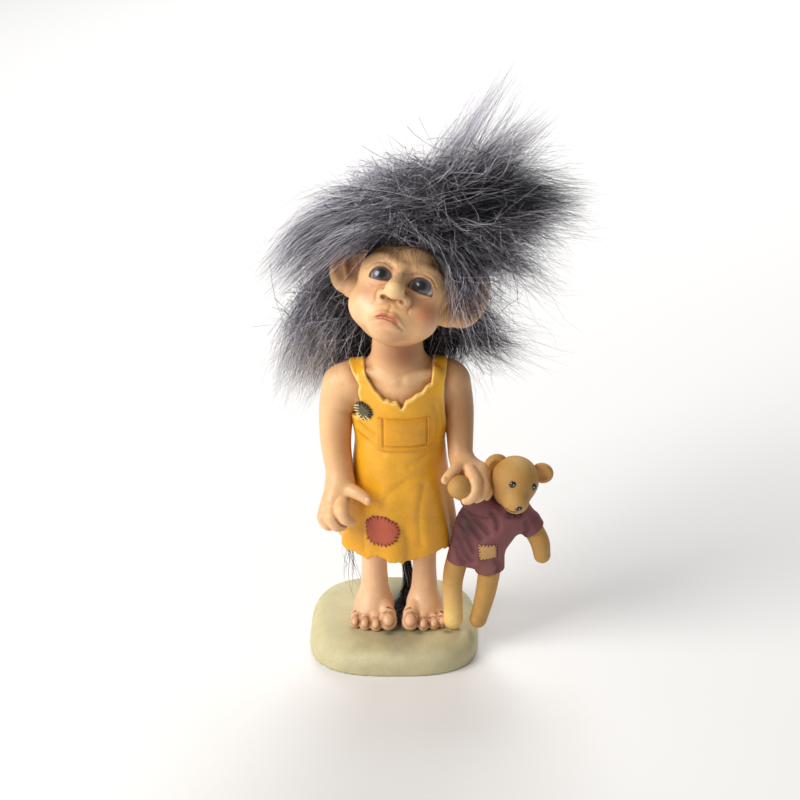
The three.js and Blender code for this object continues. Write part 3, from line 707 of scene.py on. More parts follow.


# Dabs of paint, and painted light and shade, on the face in the head's frame, on both its halves, and on the
# neck and arms.
FACE_DABS = [
    # A painted highlight on the tip of the nose.
    ("f2cd94", 0.7, (0, -18.5, -0.5), (4.0, 4.5, 3.6)),
    ("d4694c", 0.65, (9.4, -9.6, -4.6), (3.2, 4.4, 4.0)),
    ("e08f72", 0.4, (-7.6, -11.0, -3.4), (2.6, 4.0, 2.6)),
    # A painted highlight low on the cheek that faces the light.
    ("f6deba", 0.5, (-6.6, -11.5, -8.0), (3.2, 4.5, 3.4)),
    # Painted shade under the chin.
    ("b87c50", 0.4, (2, -10, -14.5), (8, 6, 4)),
]
PAIRED_DABS = [
    ("d08a68", 0.6, (18.0, 3.5, 5.5), (4.4, 3.0, 6.4)),
    ("dc8f74", 0.4, EYE_PLACE + (0, -4, -3.4), (4.0, 3.0, 1.0)),
]
LOWER_LIP_DABS = [("d98a72", 0.6, (0, -15.0, -10.8), (2.6, 2.0, 0.8))]
# Painted shade on the neck, under the chin.
NECK_SHADE_DABS = [("9c6036", 0.95, (3.0, -8, 101), (9, 9, 7))]
# Painted shade over the left arm, which the body keeps from the light, and inside the right arm by the dress.
ARM_SHADE_DABS = [
    ("8c5429", 0.8, (20, -1, 78), (6, 8, 14)),
    ("b06c3a", 0.55, (-14.5, -5, 70), (4.5, 6, 12)),
]
LIP_PAINT = [(0, -15.4, -8.9, 0.5), (1.8, -15.2, -9.0, 0.5), (3.0, -14.2, -9.8, 0.2)]
# The brown of the wash that also paints the shade in the skin's creases.
SKIN_SHADE_WASH = "85492a"


def skin_colours(vertices, crease):
    """Peach paint, blush, lips, lashes, painted highlights and shade, and a brown wash of painted shade in
    creases.
    """
    p = into_head(vertices)
    q = folded(p)
    colours = dabbed(coated(vertices, "eebd8a"), p, FACE_DABS)
    colours = dabbed(colours, q, PAIRED_DABS)
    colours = tinted(colours, "c4543f", 0.85 * np.clip(1 - chain(q, LIP_PAINT) / 0.6, 0, 1))
    colours = dabbed(colours, p, LOWER_LIP_DABS)
    # Painted shade in the nostrils.
    nostril = np.linalg.norm((q - (2.6, -15.4, -4.0)) / (0.95, 1.6, 0.7), axis=1)
    colours = tinted(colours, "743c26", 0.8 * np.clip(1.8 - 1.3 * nostril, 0, 1))
    lashes = np.abs(eye_opening(p) - 0.1)
    colours = tinted(colours, "7c4c3c", 0.7 * np.clip(1 - lashes / 0.4, 0, 1))
    colours = dabbed(colours, vertices, NECK_SHADE_DABS)
    # Painted highlights along the collar bones.
    for side in (-1, 1):
        ridge = np.clip(1.3 - chain(vertices, collar_bone(side)) / 1.2, 0, 1)
        colours = tinted(colours, "f8d6a6", 0.45 * ridge)
    colours = dabbed(colours, vertices, ARM_SHADE_DABS)
    # Painted shade on the skin where it meets the dress.
    colours = tinted(colours, "96562c", 0.75 * dress_shade(vertices))
    # A brown wash that also paints the shade in the creases.
    return washed_and_shaded(colours, SKIN_SHADE_WASH, 0.6, crease, 0.3, 0.5)


def dress_shade(vertices):
    """Brown painted shade along the dress: 1 where it touches, fading out a few millimetres off."""
    gap = inside_box(vertices, (-26, -24, 30), (28, 20, 100), dress_field)
    return np.clip(1 - gap / 3.4, 0, 1) ** 1.5


# The height that the dress hides the torso below.
TORSO_SEEN_FROM = 74


def make_skin():
    vertices, quads = surface_net(skin_field, (-34, -30, 40), (40, 24, 140), SKIN_CELL)
    normals = vertex_normals(vertices, quads)
    colours = skin_colours(vertices, hollows(skin_field, vertices, normals, 1.3))
    owner = np.argmin(np.stack(skin_parts(vertices)), axis=0)[quads[:, 0]]
    hidden = vertices[quads[:, 0], 2] < TORSO_SEEN_FROM
    for k, node in enumerate(("head", "torso", "right_arm", "left_arm")):
        keep = owner == k
        if node == "torso":
            keep &= ~hidden
        used, faces = part_of(vertices, quads, keep)
        piece = new_piece(f"{node}_skin", vertices[used], faces, SKIN_PAINT, colours[used], normals[used])
        show(piece, "skin", node)


# Eyes: glossy inset balls with a painted iris

EYE_RINGS = 40
EYE_SIDES = 56


def make_eyes():
    polar = np.linspace(0, math.pi, EYE_RINGS)
    azimuth = np.linspace(0, 2 * math.pi, EYE_SIDES, endpoint=False)
    a, b = (v.ravel() for v in np.meshgrid(polar, azimuth, indexing="ij"))
    swell = 1 + 0.035 * np.clip(1 - (a / 0.62) ** 2, 0, 1)
    ball = swell[:, None] * np.column_stack([np.sin(a) * np.cos(b), -np.cos(a), np.sin(a) * np.sin(b)])
    index = np.arange(EYE_RINGS * EYE_SIDES).reshape(EYE_RINGS, EYE_SIDES)
    following = np.roll(index, -1, axis=1)
    faces = np.stack([index[:-1], index[1:], following[1:], following[:-1]], axis=-1).reshape(-1, 4)
    degrees = np.degrees(a)
    streaks = 0.75 + 0.25 * np.sin(23 * b)
    colours = coated(ball, "e6ddd4")
    colours = tinted(colours, "d0a898", (degrees - 50) / 20)
    colours = tinted(colours, "221e28", (42.5 - degrees) / 2)
    colours = tinted(colours, "7d7885", np.clip((40 - degrees) / 4, 0, 1) * streaks)
    colours = tinted(colours, "3c3843", (30 - degrees) / 12)
    colours = tinted(colours, "08060a", (17 - degrees) / 2)
    for side, inward, name in ((-1, RIGHT_EYE_IN, "right_eye"), (1, 0, "left_eye")):
        local = EYE_PLACE * (side, 1, 1) + (inward, 0, 0) + EYE_RADIUS * ball
        piece = new_piece(f"{name}_ball", out_of_head(local), faces, GLOSS_PAINT, colours)
        show(piece, "eye", name)


# Legs: each toe's place across, radius and how far it reaches

LEGS = {
    "right_leg": {
        "ankle": -6.2, "shin": 3.9, "foot": -6.5, "width": 6.0,
        "toes": [(-1.8, 2.5, -9.6), (-5.7, 1.75, -10.2), (-9.1, 1.7, -9.6), (-12.2, 1.55, -8.4)],
    },
    "left_leg": {
        "ankle": 9.5, "shin": 3.6, "foot": 9.5, "width": 5.2,
        "toes": [(5.0, 2.45, -9.6), (9.1, 1.7, -10.0), (12.3, 1.55, -9.4), (14.8, 1.35, -8.2)],
    },
}


TOE_SWELL = 1.06
# The lines over a toe's joint: how far behind its tip, and how deep.
TOE_LINES = ((1.3, 0.3), (3.0, 0.25))


def leg_field(points, leg):
    ankle, foot, shin = leg["ankle"], leg["foot"], leg["shin"]
    bone = [
        (ankle, 1.4, 50, shin + 0.6), (ankle, 1.4, 32, shin + 0.1), (ankle, 1.2, 24, shin + 0.1),
        (ankle, 0.7, 18, shin + 0.5), (ankle, 0.2, 13.5, shin + 0.8),
    ]
    body = chain(points, spline(bone))
    body = smooth_join(body, ellipsoid(points, (foot, -1.0, 10.8), (leg["width"], 6.4, 4.4)), 4.5)
    for x, radius, reach in leg["toes"]:
        body = smooth_join(body, toe_field(points, x, TOE_SWELL * radius, reach, foot), 0.7)
    return np.maximum(body, above_base(points))


def toe_field(points, x, radius, reach, foot):
    top = BASE_HEIGHT + radius
    root = (0.72 * x + 0.28 * foot, -4.0, top + 2.0, radius)
    knuckle = (0.95 * x + 0.05 * foot, reach + 3.4, top + 1.0, 0.96 * radius)
    toe = chain(points, [root, knuckle, (x, reach, top - 0.1, radius)])
    for back, depth in TOE_LINES:
        low = top + 0.62 * radius
        high = top + 1.05 * radius + 0.2 * back
        right = (x - radius, reach + back, low, 0.2)
        left = (x + radius, reach + back, low, 0.2)
        toe = smooth_cut(toe, chain(points, [right, (x, reach + back, high, depth), left]), 0.45)
    return smooth_join(toe, nail_field(points, x, radius, reach), 0.1)


def nail_field(points, x, radius, reach):
    centre = (x, reach - 0.5 * radius, BASE_HEIGHT + 1.6 * radius)
    size = (0.62 * radius, 0.75 * radius, 0.48 * radius)
    return ellipsoid(points, centre, size, turn_matrix(pitch=35))


def leg_colours(vertices, crease, leg):
    """Peach paint, ruddier at the foot, with dark lines round the nails."""
    colours = coated(vertices, "eec196")
    colours = tinted(colours, "dea07c", 0.3 * np.clip((16 - vertices[:, 2]) / 8, 0, 1))
    for x, radius, reach in leg["toes"]:
        nail = nail_field(vertices, x, TOE_SWELL * radius, reach)
        colours = tinted(colours, "f5cfae", 0.7 * np.clip(-nail / 0.15, 0, 1))
        colours = tinted(colours, "8a5030", 0.75 * np.clip(1.3 - np.abs(nail - 0.28) / 0.16, 0, 1))
    # A brown wash that also paints the shade in the creases.
    return washed_and_shaded(colours, SKIN_SHADE_WASH, 0.7, crease, 0.22, 0.45)


def make_legs():
    for node, leg in LEGS.items():
        def field(points, leg=leg):
            return leg_field(points, leg)

        def paint(vertices, crease, leg=leg):
            return leg_colours(vertices, crease, leg)
        box = ((leg["foot"] - 9, -14, 7), (leg["foot"] + 9, 9, 42))
        casting(f"{node}_skin", "skin", node, field, box, LEG_CELL, SKIN_PAINT, paint, 1.2)


# Dress

# The skirt's level ellipses: height, half-width, half-depth, and the middle's x and y.
SKIRT = [
    (28, 18.4, 14.4, 0.6, 0), (35, 18.3, 14.3, 0.7, 0), (42, 17.7, 13.9, 1.3, 0),
    (52, 16.2, 13.1, 1.5, 0), (62, 14.6, 12.2, 1.7, 0), (70, 13.7, 11.6, 1.8, 0),
    (78, 13.2, 11.0, 1.8, 0.2), (84, 12.6, 10.4, 1.8, 0.4), (92, 9, 8, 1.8, 0.6),
]
# The outlines that are cut from the dress, as seen from the front (x, z).
NECKLINE = [
    (-10.2, 108), (-9.6, 97.6), (-7.9, 92.6), (-5.6, 89.2), (-4.4, 88.3), (-3.0, 86.6),
    (-1.8, 86.7), (-0.6, 86.1), (0.9, 86.3), (2.3, 84.3), (3.6, 86.5), (5.0, 87.0),
    (6.6, 88.2), (8.2, 88.6), (9.6, 90.4), (11.0, 90.8), (11.6, 97), (11.9, 108),
]
RIGHT_ARMHOLE = [
    (-40, 79), (-11.2, 79), (-10.9, 81.4), (-9.6, 84.6), (-10.2, 86.2), (-10.6, 88.0),
    (-10.2, 90), (-12.2, 93), (-14.0, 96), (-14.4, 108), (-40, 108),
]
LEFT_ARMHOLE = [
    (40, 108), (16.4, 108), (16.2, 97), (15.0, 91), (14.9, 86), (15.3, 80), (15.8, 76), (40, 76),
]
DRESS_CUTS = (NECKLINE, RIGHT_ARMHOLE, LEFT_ARMHOLE)
# The hem's torn edge: how far above the hem's height it runs at each angle in degrees.
HEM_STEPS = [
    (-180, 1.8), (-158, 2.4), (-148, 1.2), (-132, 0.7), (-122, -0.4), (-108, 1.1), (-96, -0.3),
    (-84, -0.5), (-72, -0.2), (-58, 0.9), (-40, 1.8), (-30, 0.9), (-16, -0.8), (0, -0.6),
    (30, 0.6), (60, -0.4), (90, 0.7), (120, -0.5), (150, 0.8), (180, 1.8),
]
# The ellipse that those angles are measured round: its middle and half-sizes.
HEM_MIDDLE = 0.7
HEM_HALF = (18.3, 14.2)
# The skirt's wall, and how far its hollow goes up from the hem.
SKIRT_WALL = 1.5
HOLLOW_HEIGHT = 4


def skirt_fold(angle, z):
    """Soft folds that deepen towards the hem and slant as they fall."""
    fall = np.clip((76 - z) / 42, 0, 1)
    slant = angle + 0.010 * (z - 40)
    wave = 0.55 * np.sin(7 * slant + 0.9) + 0.35 * np.sin(12 * slant + 2.2) + 0.25 * np.sin(4 * slant - 0.6)
    return 0.85 * fall**1.4 * wave


def hem_height(angle):
    degrees, steps = np.array(HEM_STEPS).T
    scallop = 0.18 * np.sin(31 * angle) + 0.14 * np.sin(53 * angle + 1)
    return HEM_HEIGHT + np.interp(np.degrees(angle), degrees, steps) + scallop


# Folds of the dress: depth, softness, and a route over its front.
DRESS_FOLDS = [
    (0.6, 3.0, [(-10.4, 77.2), (-7.6, 75.6), (-5.8, 74.8)]),
    (0.5, 3.0, [(-10.8, 73.6), (-7.6, 72.4), (-3.4, 69.6)]),
    (0.35, 4.0, [(12.4, 71.8), (9.2, 68.4), (4.6, 66.2)]),
    (0.35, 5.0, [(11.0, 63.4), (5.4, 62.2), (-1.2, 57.2), (-4.0, 52.6)]),
    (0.35, 5.0, [(9.0, 59.0), (7.6, 50.0), (8.2, 40.0)]),
    (0.45, 4.5, [(-8.6, 53.0), (-9.3, 45.0), (-9.0, 37.0)]),
    (0.4, 4.5, [(3.4, 45.0), (4.4, 40.0), (4.2, 36.0)]),
    (0.3, 3.0, [(12.2, 84.0), (13.4, 79.0), (13.0, 74.0)]),
]
# Folds of its back, drawn as if the back were the front.
BACK_FOLDS = [
    (0.5, 4.5, [(-6.0, 66.0), (-7.6, 52.0), (-7.2, 37.0)]),
    (0.45, 4.5, [(1.4, 70.0), (2.6, 54.0), (2.0, 36.5)]),
    (0.5, 4.5, [(8.6, 64.0), (10.4, 50.0), (10.0, 37.0)]),
    (0.35, 3.5, [(-9.0, 76.0), (-3.0, 72.6), (4.0, 73.6)]),
]
TO_BACK = np.array([1.0, -1.0, 1.0])


def dress_body(points):
    """The dress before its folds, neckline, armholes and hem are cut."""
    thickness = np.interp(points[:, 2], STRAP_HEIGHTS, (DRESS_THICKNESS, STRAP_THICKNESS))
    bodice = torso_field(points) - thickness
    skirt = loft(points, SKIRT, skirt_fold)
    body = smooth_join(bodice, np.maximum(skirt, points[:, 2] - 90), 2.5)
    return np.where(points[:, 2] < 60, np.minimum(skirt, body), body)


def dress_back(points):
    return dress_body(points * TO_BACK)


FOLD_ROUTES = drawn_folds(dress_body, DRESS_FOLDS)
BACK_ROUTES = drawn_folds(dress_back, BACK_FOLDS)


def folded_dress(points):
    body = dress_body(points)
    front = points[:, 1] < 0
    for softness, route in FOLD_ROUTES:
        body[front] = smooth_cut(body[front], chain(points[front], route), softness)
    for softness, route in BACK_ROUTES:
        body[~front] = smooth_cut(body[~front], chain(points[~front] * TO_BACK, route), softness)
    return body


def dress_field(points):
    body = folded_dress(points)
    for outline in DRESS_CUTS:
        body = smooth_cut(body, outline_distance(points, outline), 0.5)
    angle = np.arctan2(points[:, 1] / HEM_HALF[1], (points[:, 0] - HEM_MIDDLE) / HEM_HALF[0])
    body = np.maximum(body, hem_height(angle) - points[:, 2])
    inside = loft(points, SKIRT, skirt_fold) + SKIRT_WALL
    hollow = np.maximum(inside, points[:, 2] - HEM_HEIGHT - HOLLOW_HEIGHT)
    return smooth_cut(body, hollow, 0.6)


def dress_colours(vertices, crease):
    """Golden paint, rubbed paler with a painted highlight at the edges, and an ochre wash of painted shade in
    folds.
    """
    colours = coated(vertices, "eaa61f")
    colours = tinted(colours, "f6bd36", 0.5 * np.clip((vertices[:, 2] - 40) / 60, 0, 1))
    edges = np.min([np.abs(outline_distance(vertices, outline)) for outline in DRESS_CUTS], axis=0)
    # Paler at the cut edges: rubbed paint, and a painted highlight along the rims.
    colours = tinted(colours, "ffe08c", 0.75 * np.clip(1.2 - edges / 0.7, 0, 1))
    # An ochre wash that also paints the shade in the folds.
    return washed_and_shaded(colours, "94520f", 0.6, crease, 0.3, 0.6)


def make_dress():
    box = ((-22, -18, 30), (24, 18, 104))
    casting("dress_casting", "dress", "dress", dress_field, box, DRESS_CELL, SATIN_PAINT,
            dress_colours, 1.5)


# Pocket, patches and their stitches

POCKET = [(-5.0, 71.0), (10.6, 71.4), (10.7, 81.2), (-5.1, 81.5)]
# The pocket's raised face, inside its rim, running up past the open top.
POCKET_FACE = [(-3.1, 72.5), (9.9, 72.7), (9.9, 90.0), (-3.2, 90.0)]
SKIRT_PATCH = [
    (-7.9, 41.9), (-6.1, 40.5), (-2.7, 40.4), (0.4, 42.2), (1.5, 45.1),
    (0.4, 47.8), (-2.7, 49.4), (-6.1, 49.1), (-8.3, 47.1),
]
CHEST_PATCH = [(-9.3, 79.8), (-6.8, 81.9), (-7.4, 83.9), (-9.3, 85.1), (-11.0, 84.6), (-11.2, 81.9)]
# How far the patches stand out from the dress, and how deep they go into it.
SKIRT_PATCH_HEIGHT = 0.4
CHEST_PATCH_HEIGHT = 0.5
PATCH_DEPTH = 0.5
# The sizes of a stitch along its length, from end to end.
STITCH_PROFILE = [(-1.0, 0.25), (-0.7, 0.9), (0.0, 1.15), (0.7, 0.9), (1.0, 0.25)]


def raised(field, height):
    """The field's surface lifted by a height."""
    return lambda points: field(points) - height


def pocket_field(points):
    """A sewn-on pocket: a rim down its sides and along its foot, a groove, and a raised face."""
    depth = folded_dress(points)
    edge = outline_distance(points, POCKET)
    groove = np.exp(-(outline_distance(points, POCKET_FACE) / 0.32) ** 2)
    relief = 0.85 - 0.45 * groove
    slab = smooth_cut(depth - relief, -edge, 0.35)
    return np.maximum(slab, points[:, 1])


def patch_field(outline, height):
    """A thin sheet sewn over the dress's front."""
    def field(points):
        surface = folded_dress(points)
        edge = outline_distance(points, outline) - 0.3
        sheet = np.maximum(smooth_cut(surface - height, -edge, 0.4), points[:, 1])
        return np.maximum(sheet, -surface - PATCH_DEPTH)
    return field


def stitch_mesh(places, half, radius, sides=6):
    """Short rounded threads: each place is (middle, direction along the thread)."""
    vertices, faces = [], []
    for middle, along in places:
        across = np.cross(along, (0, 1, 0.2))
        across /= np.linalg.norm(across)
        up = np.cross(along, across)
        first = len(vertices)
        for t, size in STITCH_PROFILE:
            for k in range(sides):
                angle = 2 * math.pi * k / sides
                spoke = math.cos(angle) * across + math.sin(angle) * up
                vertices.append(middle + along * half * t + spoke * radius * size)
        for ring in range(len(STITCH_PROFILE) - 1):
            for k in range(sides):
                a = first + ring * sides + k
                b = first + ring * sides + (k + 1) % sides
                faces.append((a, b, b + sides, a + sides))
    return np.array(vertices), np.array(faces)


def stitches_round(name, field, outline, count, half, radius, colour, slot, start=0.0, stop=1.0):
    """Threads sewn over an outline, square to it, lying on the field's surface."""
    ring = np.array(outline + outline[:1], float)
    lengths = np.r_[0, np.cumsum(np.linalg.norm(np.diff(ring, axis=0), axis=1))]
    rng = np.random.default_rng(len(name) + count)
    places = []
    for share in np.linspace(start, stop, count, endpoint=False):
        at = (share % 1) * lengths[-1]
        middle = np.array([np.interp(at, lengths, ring[:, k]) for k in (0, 1)])
        ahead = np.array([np.interp((at + 0.2) % lengths[-1], lengths, ring[:, k]) for k in (0, 1)])
        edge = (ahead - middle) / max(np.linalg.norm(ahead - middle), TINY)
        lean = rng.normal(0, 0.25)
        thread = np.array([edge[1], -edge[0]]) + lean * edge
        ends = front_of(field, [middle - half * thread, middle + half * thread])
        along = ends[1] - ends[0]
        places.append((ends.mean(axis=0), along / np.linalg.norm(along)))
    vertices, faces = stitch_mesh(places, half, radius)
    show(new_piece(name, vertices, faces, MATTE_PAINT, coated(vertices, colour)), slot)


def make_trim():
    skirt_patch = patch_field(SKIRT_PATCH, SKIRT_PATCH_HEIGHT)
    chest_patch = patch_field(CHEST_PATCH, CHEST_PATCH_HEIGHT)
    skirt_box = ((-10, -19, 37), (4, -8, 53))
    chest_box = ((-14, -16, 77), (-5, -2, 89))
    pieces = [
        ("pocket", "dress", pocket_field, ((-7, -18, 69), (13, -6, 84)), SATIN_PAINT, "e4a020", "a8660f"),
        ("skirt_patch", "red_patch", skirt_patch, skirt_box, MATTE_PAINT, "b95a42", "6e281c"),
        ("chest_patch", "grey_patch", chest_patch, chest_box, MATTE_PAINT, "5c543c", "241f14"),
    ]
    for node, slot, field, box, material, colour, shade_wash in pieces:
        # Each piece gets a dark wash that also paints the shade in its creases.
        paint = shade_washed_paint(colour, shade_wash, 0.55, 0.25, 0.6)
        casting(f"{node}_relief", slot, node, field, box, TRIM_CELL, material, paint, 0.8)
    skirt_top = raised(folded_dress, SKIRT_PATCH_HEIGHT)
    chest_top = raised(folded_dress, CHEST_PATCH_HEIGHT)
    stitches_round("skirt_patch_stitches", skirt_top, SKIRT_PATCH, 26, 0.8, 0.14, "521c14", "red_patch")
    stitches_round("chest_patch_stitches", chest_top, CHEST_PATCH, 8, 0.9, 0.2, "0c0a08", "grey_patch",
                   0.18, 0.62)
    stitches_round("chest_patch_threads", chest_top, CHEST_PATCH, 8, 1.0, 0.16, "e6d6a4", "grey_patch",
                   0.66, 1.18)


# Toy bear

BEAR_TAN = "bb8c46"
BEAR_LIMB_TAN = "c0914d"
# The brown of the wash that also paints the shade in the bear's creases.
BEAR_SHADE_WASH = "6b4420"
BEAR_MOUTH = [(33.4, 55.9), (34.8, 55.1), (36.5, 55.3)]
MOUTH_DEPTH = 0.15
MOUTH_SOFTNESS = 0.2


def bear_skull(points):
    body = ellipsoid(points, (36.3, -10.3, 61.3), (7.1, 7.0, 6.9))
    wedge = chain(points, [(36.2, -12.2, 59.6, 5.8), (36.3, -16.6, 57.2, 4.0)])
    body = smooth_join(body, wedge, 2.5)
    return smooth_join(body, ellipsoid(points, (34.4, -12.0, 58.0), (4.6, 5.0, 4.3)), 2)


BEAR_MOUTH_ROUTE = drawn(bear_skull, BEAR_MOUTH, MOUTH_DEPTH, MOUTH_SOFTNESS)


def bear_head_field(points):
    return smooth_cut(bear_skull(points), chain(points, BEAR_MOUTH_ROUTE), MOUTH_SOFTNESS)


# The ears: middle, half-sizes and turn.
BEAR_EARS = {
    "bear_right_ear": ((30.7, -8.2, 64.8), (3.7, 2.0, 3.6), turn_matrix(roll=-20, yaw=10)),
    "bear_left_ear": ((44.6, -8.0, 62.0), (3.4, 2.0, 3.3), turn_matrix(roll=25, yaw=-10)),
}


def bear_ear_field(points, ear):
    centre, size, turn = BEAR_EARS[ear]
    body = ellipsoid(points, centre, size, turn)
    bowl = np.array(centre) + turn @ (0, -2.1, 0.1)
    return smooth_cut(body, ellipsoid(points, bowl, np.array(size) * (0.66, 0.75, 0.66), turn), 0.6)


def hemmed(points, stations, hem, direction):
    """A sleeve or a leg of the shorts, cut square to the given direction."""
    direction = np.array(direction, float) / np.linalg.norm(direction)
    return np.maximum(chain(points, stations), (points - np.array(hem)) @ direction)


def bear_shirt_body(points):
    trunk = [(35, -9, 49.6, 6.0), (31.6, -8.4, 45.4, 6.9), (28.2, -7.6, 40, 7.2), (26.4, -7.2, 35.6, 6.6)]
    body = chain(points, spline(trunk))
    flank = [(26.5, -9.0, 50.5, 5.0), (24.2, -7.8, 44, 5.8), (23.4, -7.2, 38, 5.6)]
    body = smooth_join(body, chain(points, spline(flank)), 2)
    sleeve = [(37.0, -8.8, 48.2, 4.9), (40.8, -8.3, 45.4, 4.1), (44.4, -8.0, 40.6, 3.3)]
    body = smooth_join(body, hemmed(points, sleeve, (42.8, -8, 43.0), (0.62, 0, -0.79)), 2)
    lifted_sleeve = [(30.5, -9.8, 49.4, 4.8), (26.2, -12.0, 53.4, 4.1), (23.6, -13.4, 56.4, 3.9)]
    body = smooth_join(body, chain(points, lifted_sleeve), 2)
    right = hemmed(points, [(22.6, -7, 37, 5.3), (20.0, -7, 28, 4.7)], (20.2, -7, 31.8), (-0.1, 0, -1))
    left = hemmed(points, [(28.6, -7.2, 36, 5.4), (30.0, -7, 25, 4.2)], (29.8, -7, 28.4), (0.15, 0, -1))
    return smooth_join(smooth_join(body, right, 1.5), left, 1.5)


SHIRT_SOFTNESS = 1.8
SHIRT_FOLD_DEPTH = 0.55
# Folds of the shirt, pulled towards the raised paw: routes over its front.
SHIRT_FOLDS = [
    [(20.4, 52.4), (24.0, 50.6), (28.0, 50.0)],
    [(19.4, 49.0), (23.0, 46.8), (26.4, 42.8)],
    [(21.0, 50.8), (25.2, 48.4), (28.6, 44.8)],
    [(19.2, 45.4), (22.6, 42.0), (24.2, 37.8)],
    [(19.4, 40.6), (21.4, 37.2), (23.6, 34.2)],
    [(18.6, 37.6), (19.8, 35.0), (21.4, 33.0)],
    [(39.6, 48.2), (40.4, 45.4), (39.4, 43.2)],
    [(29.4, 52.0), (31.0, 49.4), (31.2, 46.8)],
    [(30.8, 34.4), (32.0, 32.0), (31.8, 30.0)],
]
SHIRT_ROUTES = [drawn(bear_shirt_body, route, SHIRT_FOLD_DEPTH, SHIRT_SOFTNESS) for route in SHIRT_FOLDS]


def bear_shirt_field(points):
    body = bear_shirt_body(points)
    for route in SHIRT_ROUTES:
        body = smooth_cut(body, chain(points, route), SHIRT_SOFTNESS)
    return body


BEAR_LIMBS = {
    "bear_right_arm": [
        (27.0, -11.4, 52.8, 3.4), (23.2, -13.6, 57.2, 3.2),
        (20.6, -15.4, 60.2, 3.4), (19.5, -15.9, 61.3, 3.6),
    ],
    "bear_left_arm": [(41.0, -8.0, 45.4, 3.1), (44.4, -8.3, 39.0, 3.0), (45.4, -8.8, 34.2, 2.6)],
    "bear_right_leg": [
        (20.8, -6.9, 36.0, 3.4), (18.9, -6.9, 29.0, 3.4), (18.1, -7.2, 22.6, 3.1),
        (18.4, -8.2, 14.5, 3.0), (18.4, -9.0, 11.2, 3.1),
    ],
    "bear_left_leg": [
        (30.0, -7.0, 33.0, 3.6), (28.6, -7.2, 21.0, 3.2),
        (26.6, -7.9, 12.0, 2.7), (26.2, -8.2, 10.8, 2.7),
    ],
}
# How much room the boxes round an ear and a limb leave.
EAR_ROOM = 6
LIMB_ROOM = 5
BEAR_EYES = {"bear_right_eye": (35.2, 62.7), "bear_left_eye": (41.4, 61.0)}
BEAR_NOSE = (36.9, 56.5)
BEAR_PATCH = [(26.1, 35.5), (31.1, 36.2), (30.8, 41.0), (25.6, 40.7)]
BEAR_PATCH_HEIGHT = 0.4
BEAR_FACE_DABS = [
    ("d6aa62", 0.4, (36.8, -20, 58), (4, 5, 3.5)),
    ("d8b068", 0.5, (37.5, -12, 67.5), (4.5, 5, 3.5)),
    # Painted shade on the side of the head next to the hand.
    ("80562a", 0.6, (30.8, -14, 58.5), (3.0, 6, 4.6)),
]
SHIRT_DABS = [
    # Painted shade under the raised paw.
    ("35161a", 0.96, (21.2, -13, 48.6), (4.4, 8, 6.5)),
    # Painted shade along the shirt's edge next to the dress.
    ("35161a", 0.55, (19.8, -10, 41), (2.8, 6, 7)),
    ("9c6c60", 0.4, (28.5, -13, 31), (4.0, 5, 3.5)),
]


def bear_piece(name, node, slot, field, box, colour, shade_wash, material, extra=None):
    # A dark wash that also paints the shade in the creases.
    paint = shade_washed_paint(colour, shade_wash, 0.8, 0.2, 0.6, extra)
    casting(name, slot, node, field, box, BEAR_CELL, material, paint, 1.1)


def bear_face_paint(vertices, colours):
    colours = dabbed(colours, vertices, BEAR_FACE_DABS)
    mouth = chain(vertices, BEAR_MOUTH_ROUTE)
    return tinted(colours, "120d09", np.clip(1.6 - (mouth + 0.1) / 0.2, 0, 1))


def shirt_paint(vertices, colours):
    return dabbed(colours, vertices, SHIRT_DABS)


def limb_paint(vertices, colours):
    """Paint paler towards the foot of the right leg."""
    right = np.clip((23 - vertices[:, 0]) / 2, 0, 1)
    return tinted(colours, "f6d084", 0.85 * right * np.clip((27 - vertices[:, 2]) / 13, 0, 1))


def make_bear():
    bear_piece("bear_head_casting", "bear_head", "bear", bear_head_field, ((27, -24, 50), (46, -2, 70)),
               BEAR_TAN, BEAR_SHADE_WASH, BEAR_PAINT, bear_face_paint)
    for node, (centre, *_) in BEAR_EARS.items():
        def blush(vertices, colours, centre=centre):
            middle = np.array(centre) + (0, -1.2, 0)
            return dabbed(colours, vertices, [("e2a86c", 0.85, middle, (2.4, 1.4, 2.4))])

        def field(points, node=node):
            return bear_ear_field(points, node)
        bear_piece(f"{node}_casting", node, "bear", field, box_round(centre, EAR_ROOM),
                   BEAR_TAN, "b07c48", BEAR_PAINT, blush)
    bear_piece("bear_shirt_casting", "bear_shirt", "plum", bear_shirt_field, ((14, -19, 25), (49, 3, 61)),
               "80494c", "35161a", MATTE_PAINT, shirt_paint)
    for node, stations in BEAR_LIMBS.items():
        def field(points, stations=stations):
            return np.maximum(chain(points, spline(stations)), above_base(points))
        box = box_round(np.array(stations)[:, :3], LIMB_ROOM)
        bear_piece(f"{node}_casting", node, "bear", field, box,
                   BEAR_LIMB_TAN, BEAR_SHADE_WASH, BEAR_PAINT, limb_paint)
    make_bear_trim()


def bead(name, node, slot, centre, size, colour):
    """A glossy bead with a glint painted on."""
    def field(points):
        return ellipsoid(points, centre, size)
    vertices, quads = surface_net(field, *box_round(centre, max(size) + 1), BEAD_CELL)
    glint = np.array(centre) + (0.2 * size[0], -0.9 * size[1], 0.3 * size[2])
    shine = 1.6 - np.linalg.norm(vertices - glint, axis=1) / (0.1 * max(size))
    colours = tinted(coated(vertices, colour), "f4f0ea", shine)
    show(new_piece(name, vertices, quads, GLOSS_PAINT, colours), slot, node)


def bear_bow_field(points):
    left = ellipsoid(points, (34.3, -15.4, 51.4), (1.3, 0.8, 1.1), turn_matrix(roll=10))
    right = ellipsoid(points, (37.2, -15.4, 51.5), (1.3, 0.8, 1.1), turn_matrix(roll=-10))
    knot = ellipsoid(points, (35.75, -15.8, 51.4), (0.7, 0.8, 0.7))
    return np.minimum(np.minimum(left, right), knot)


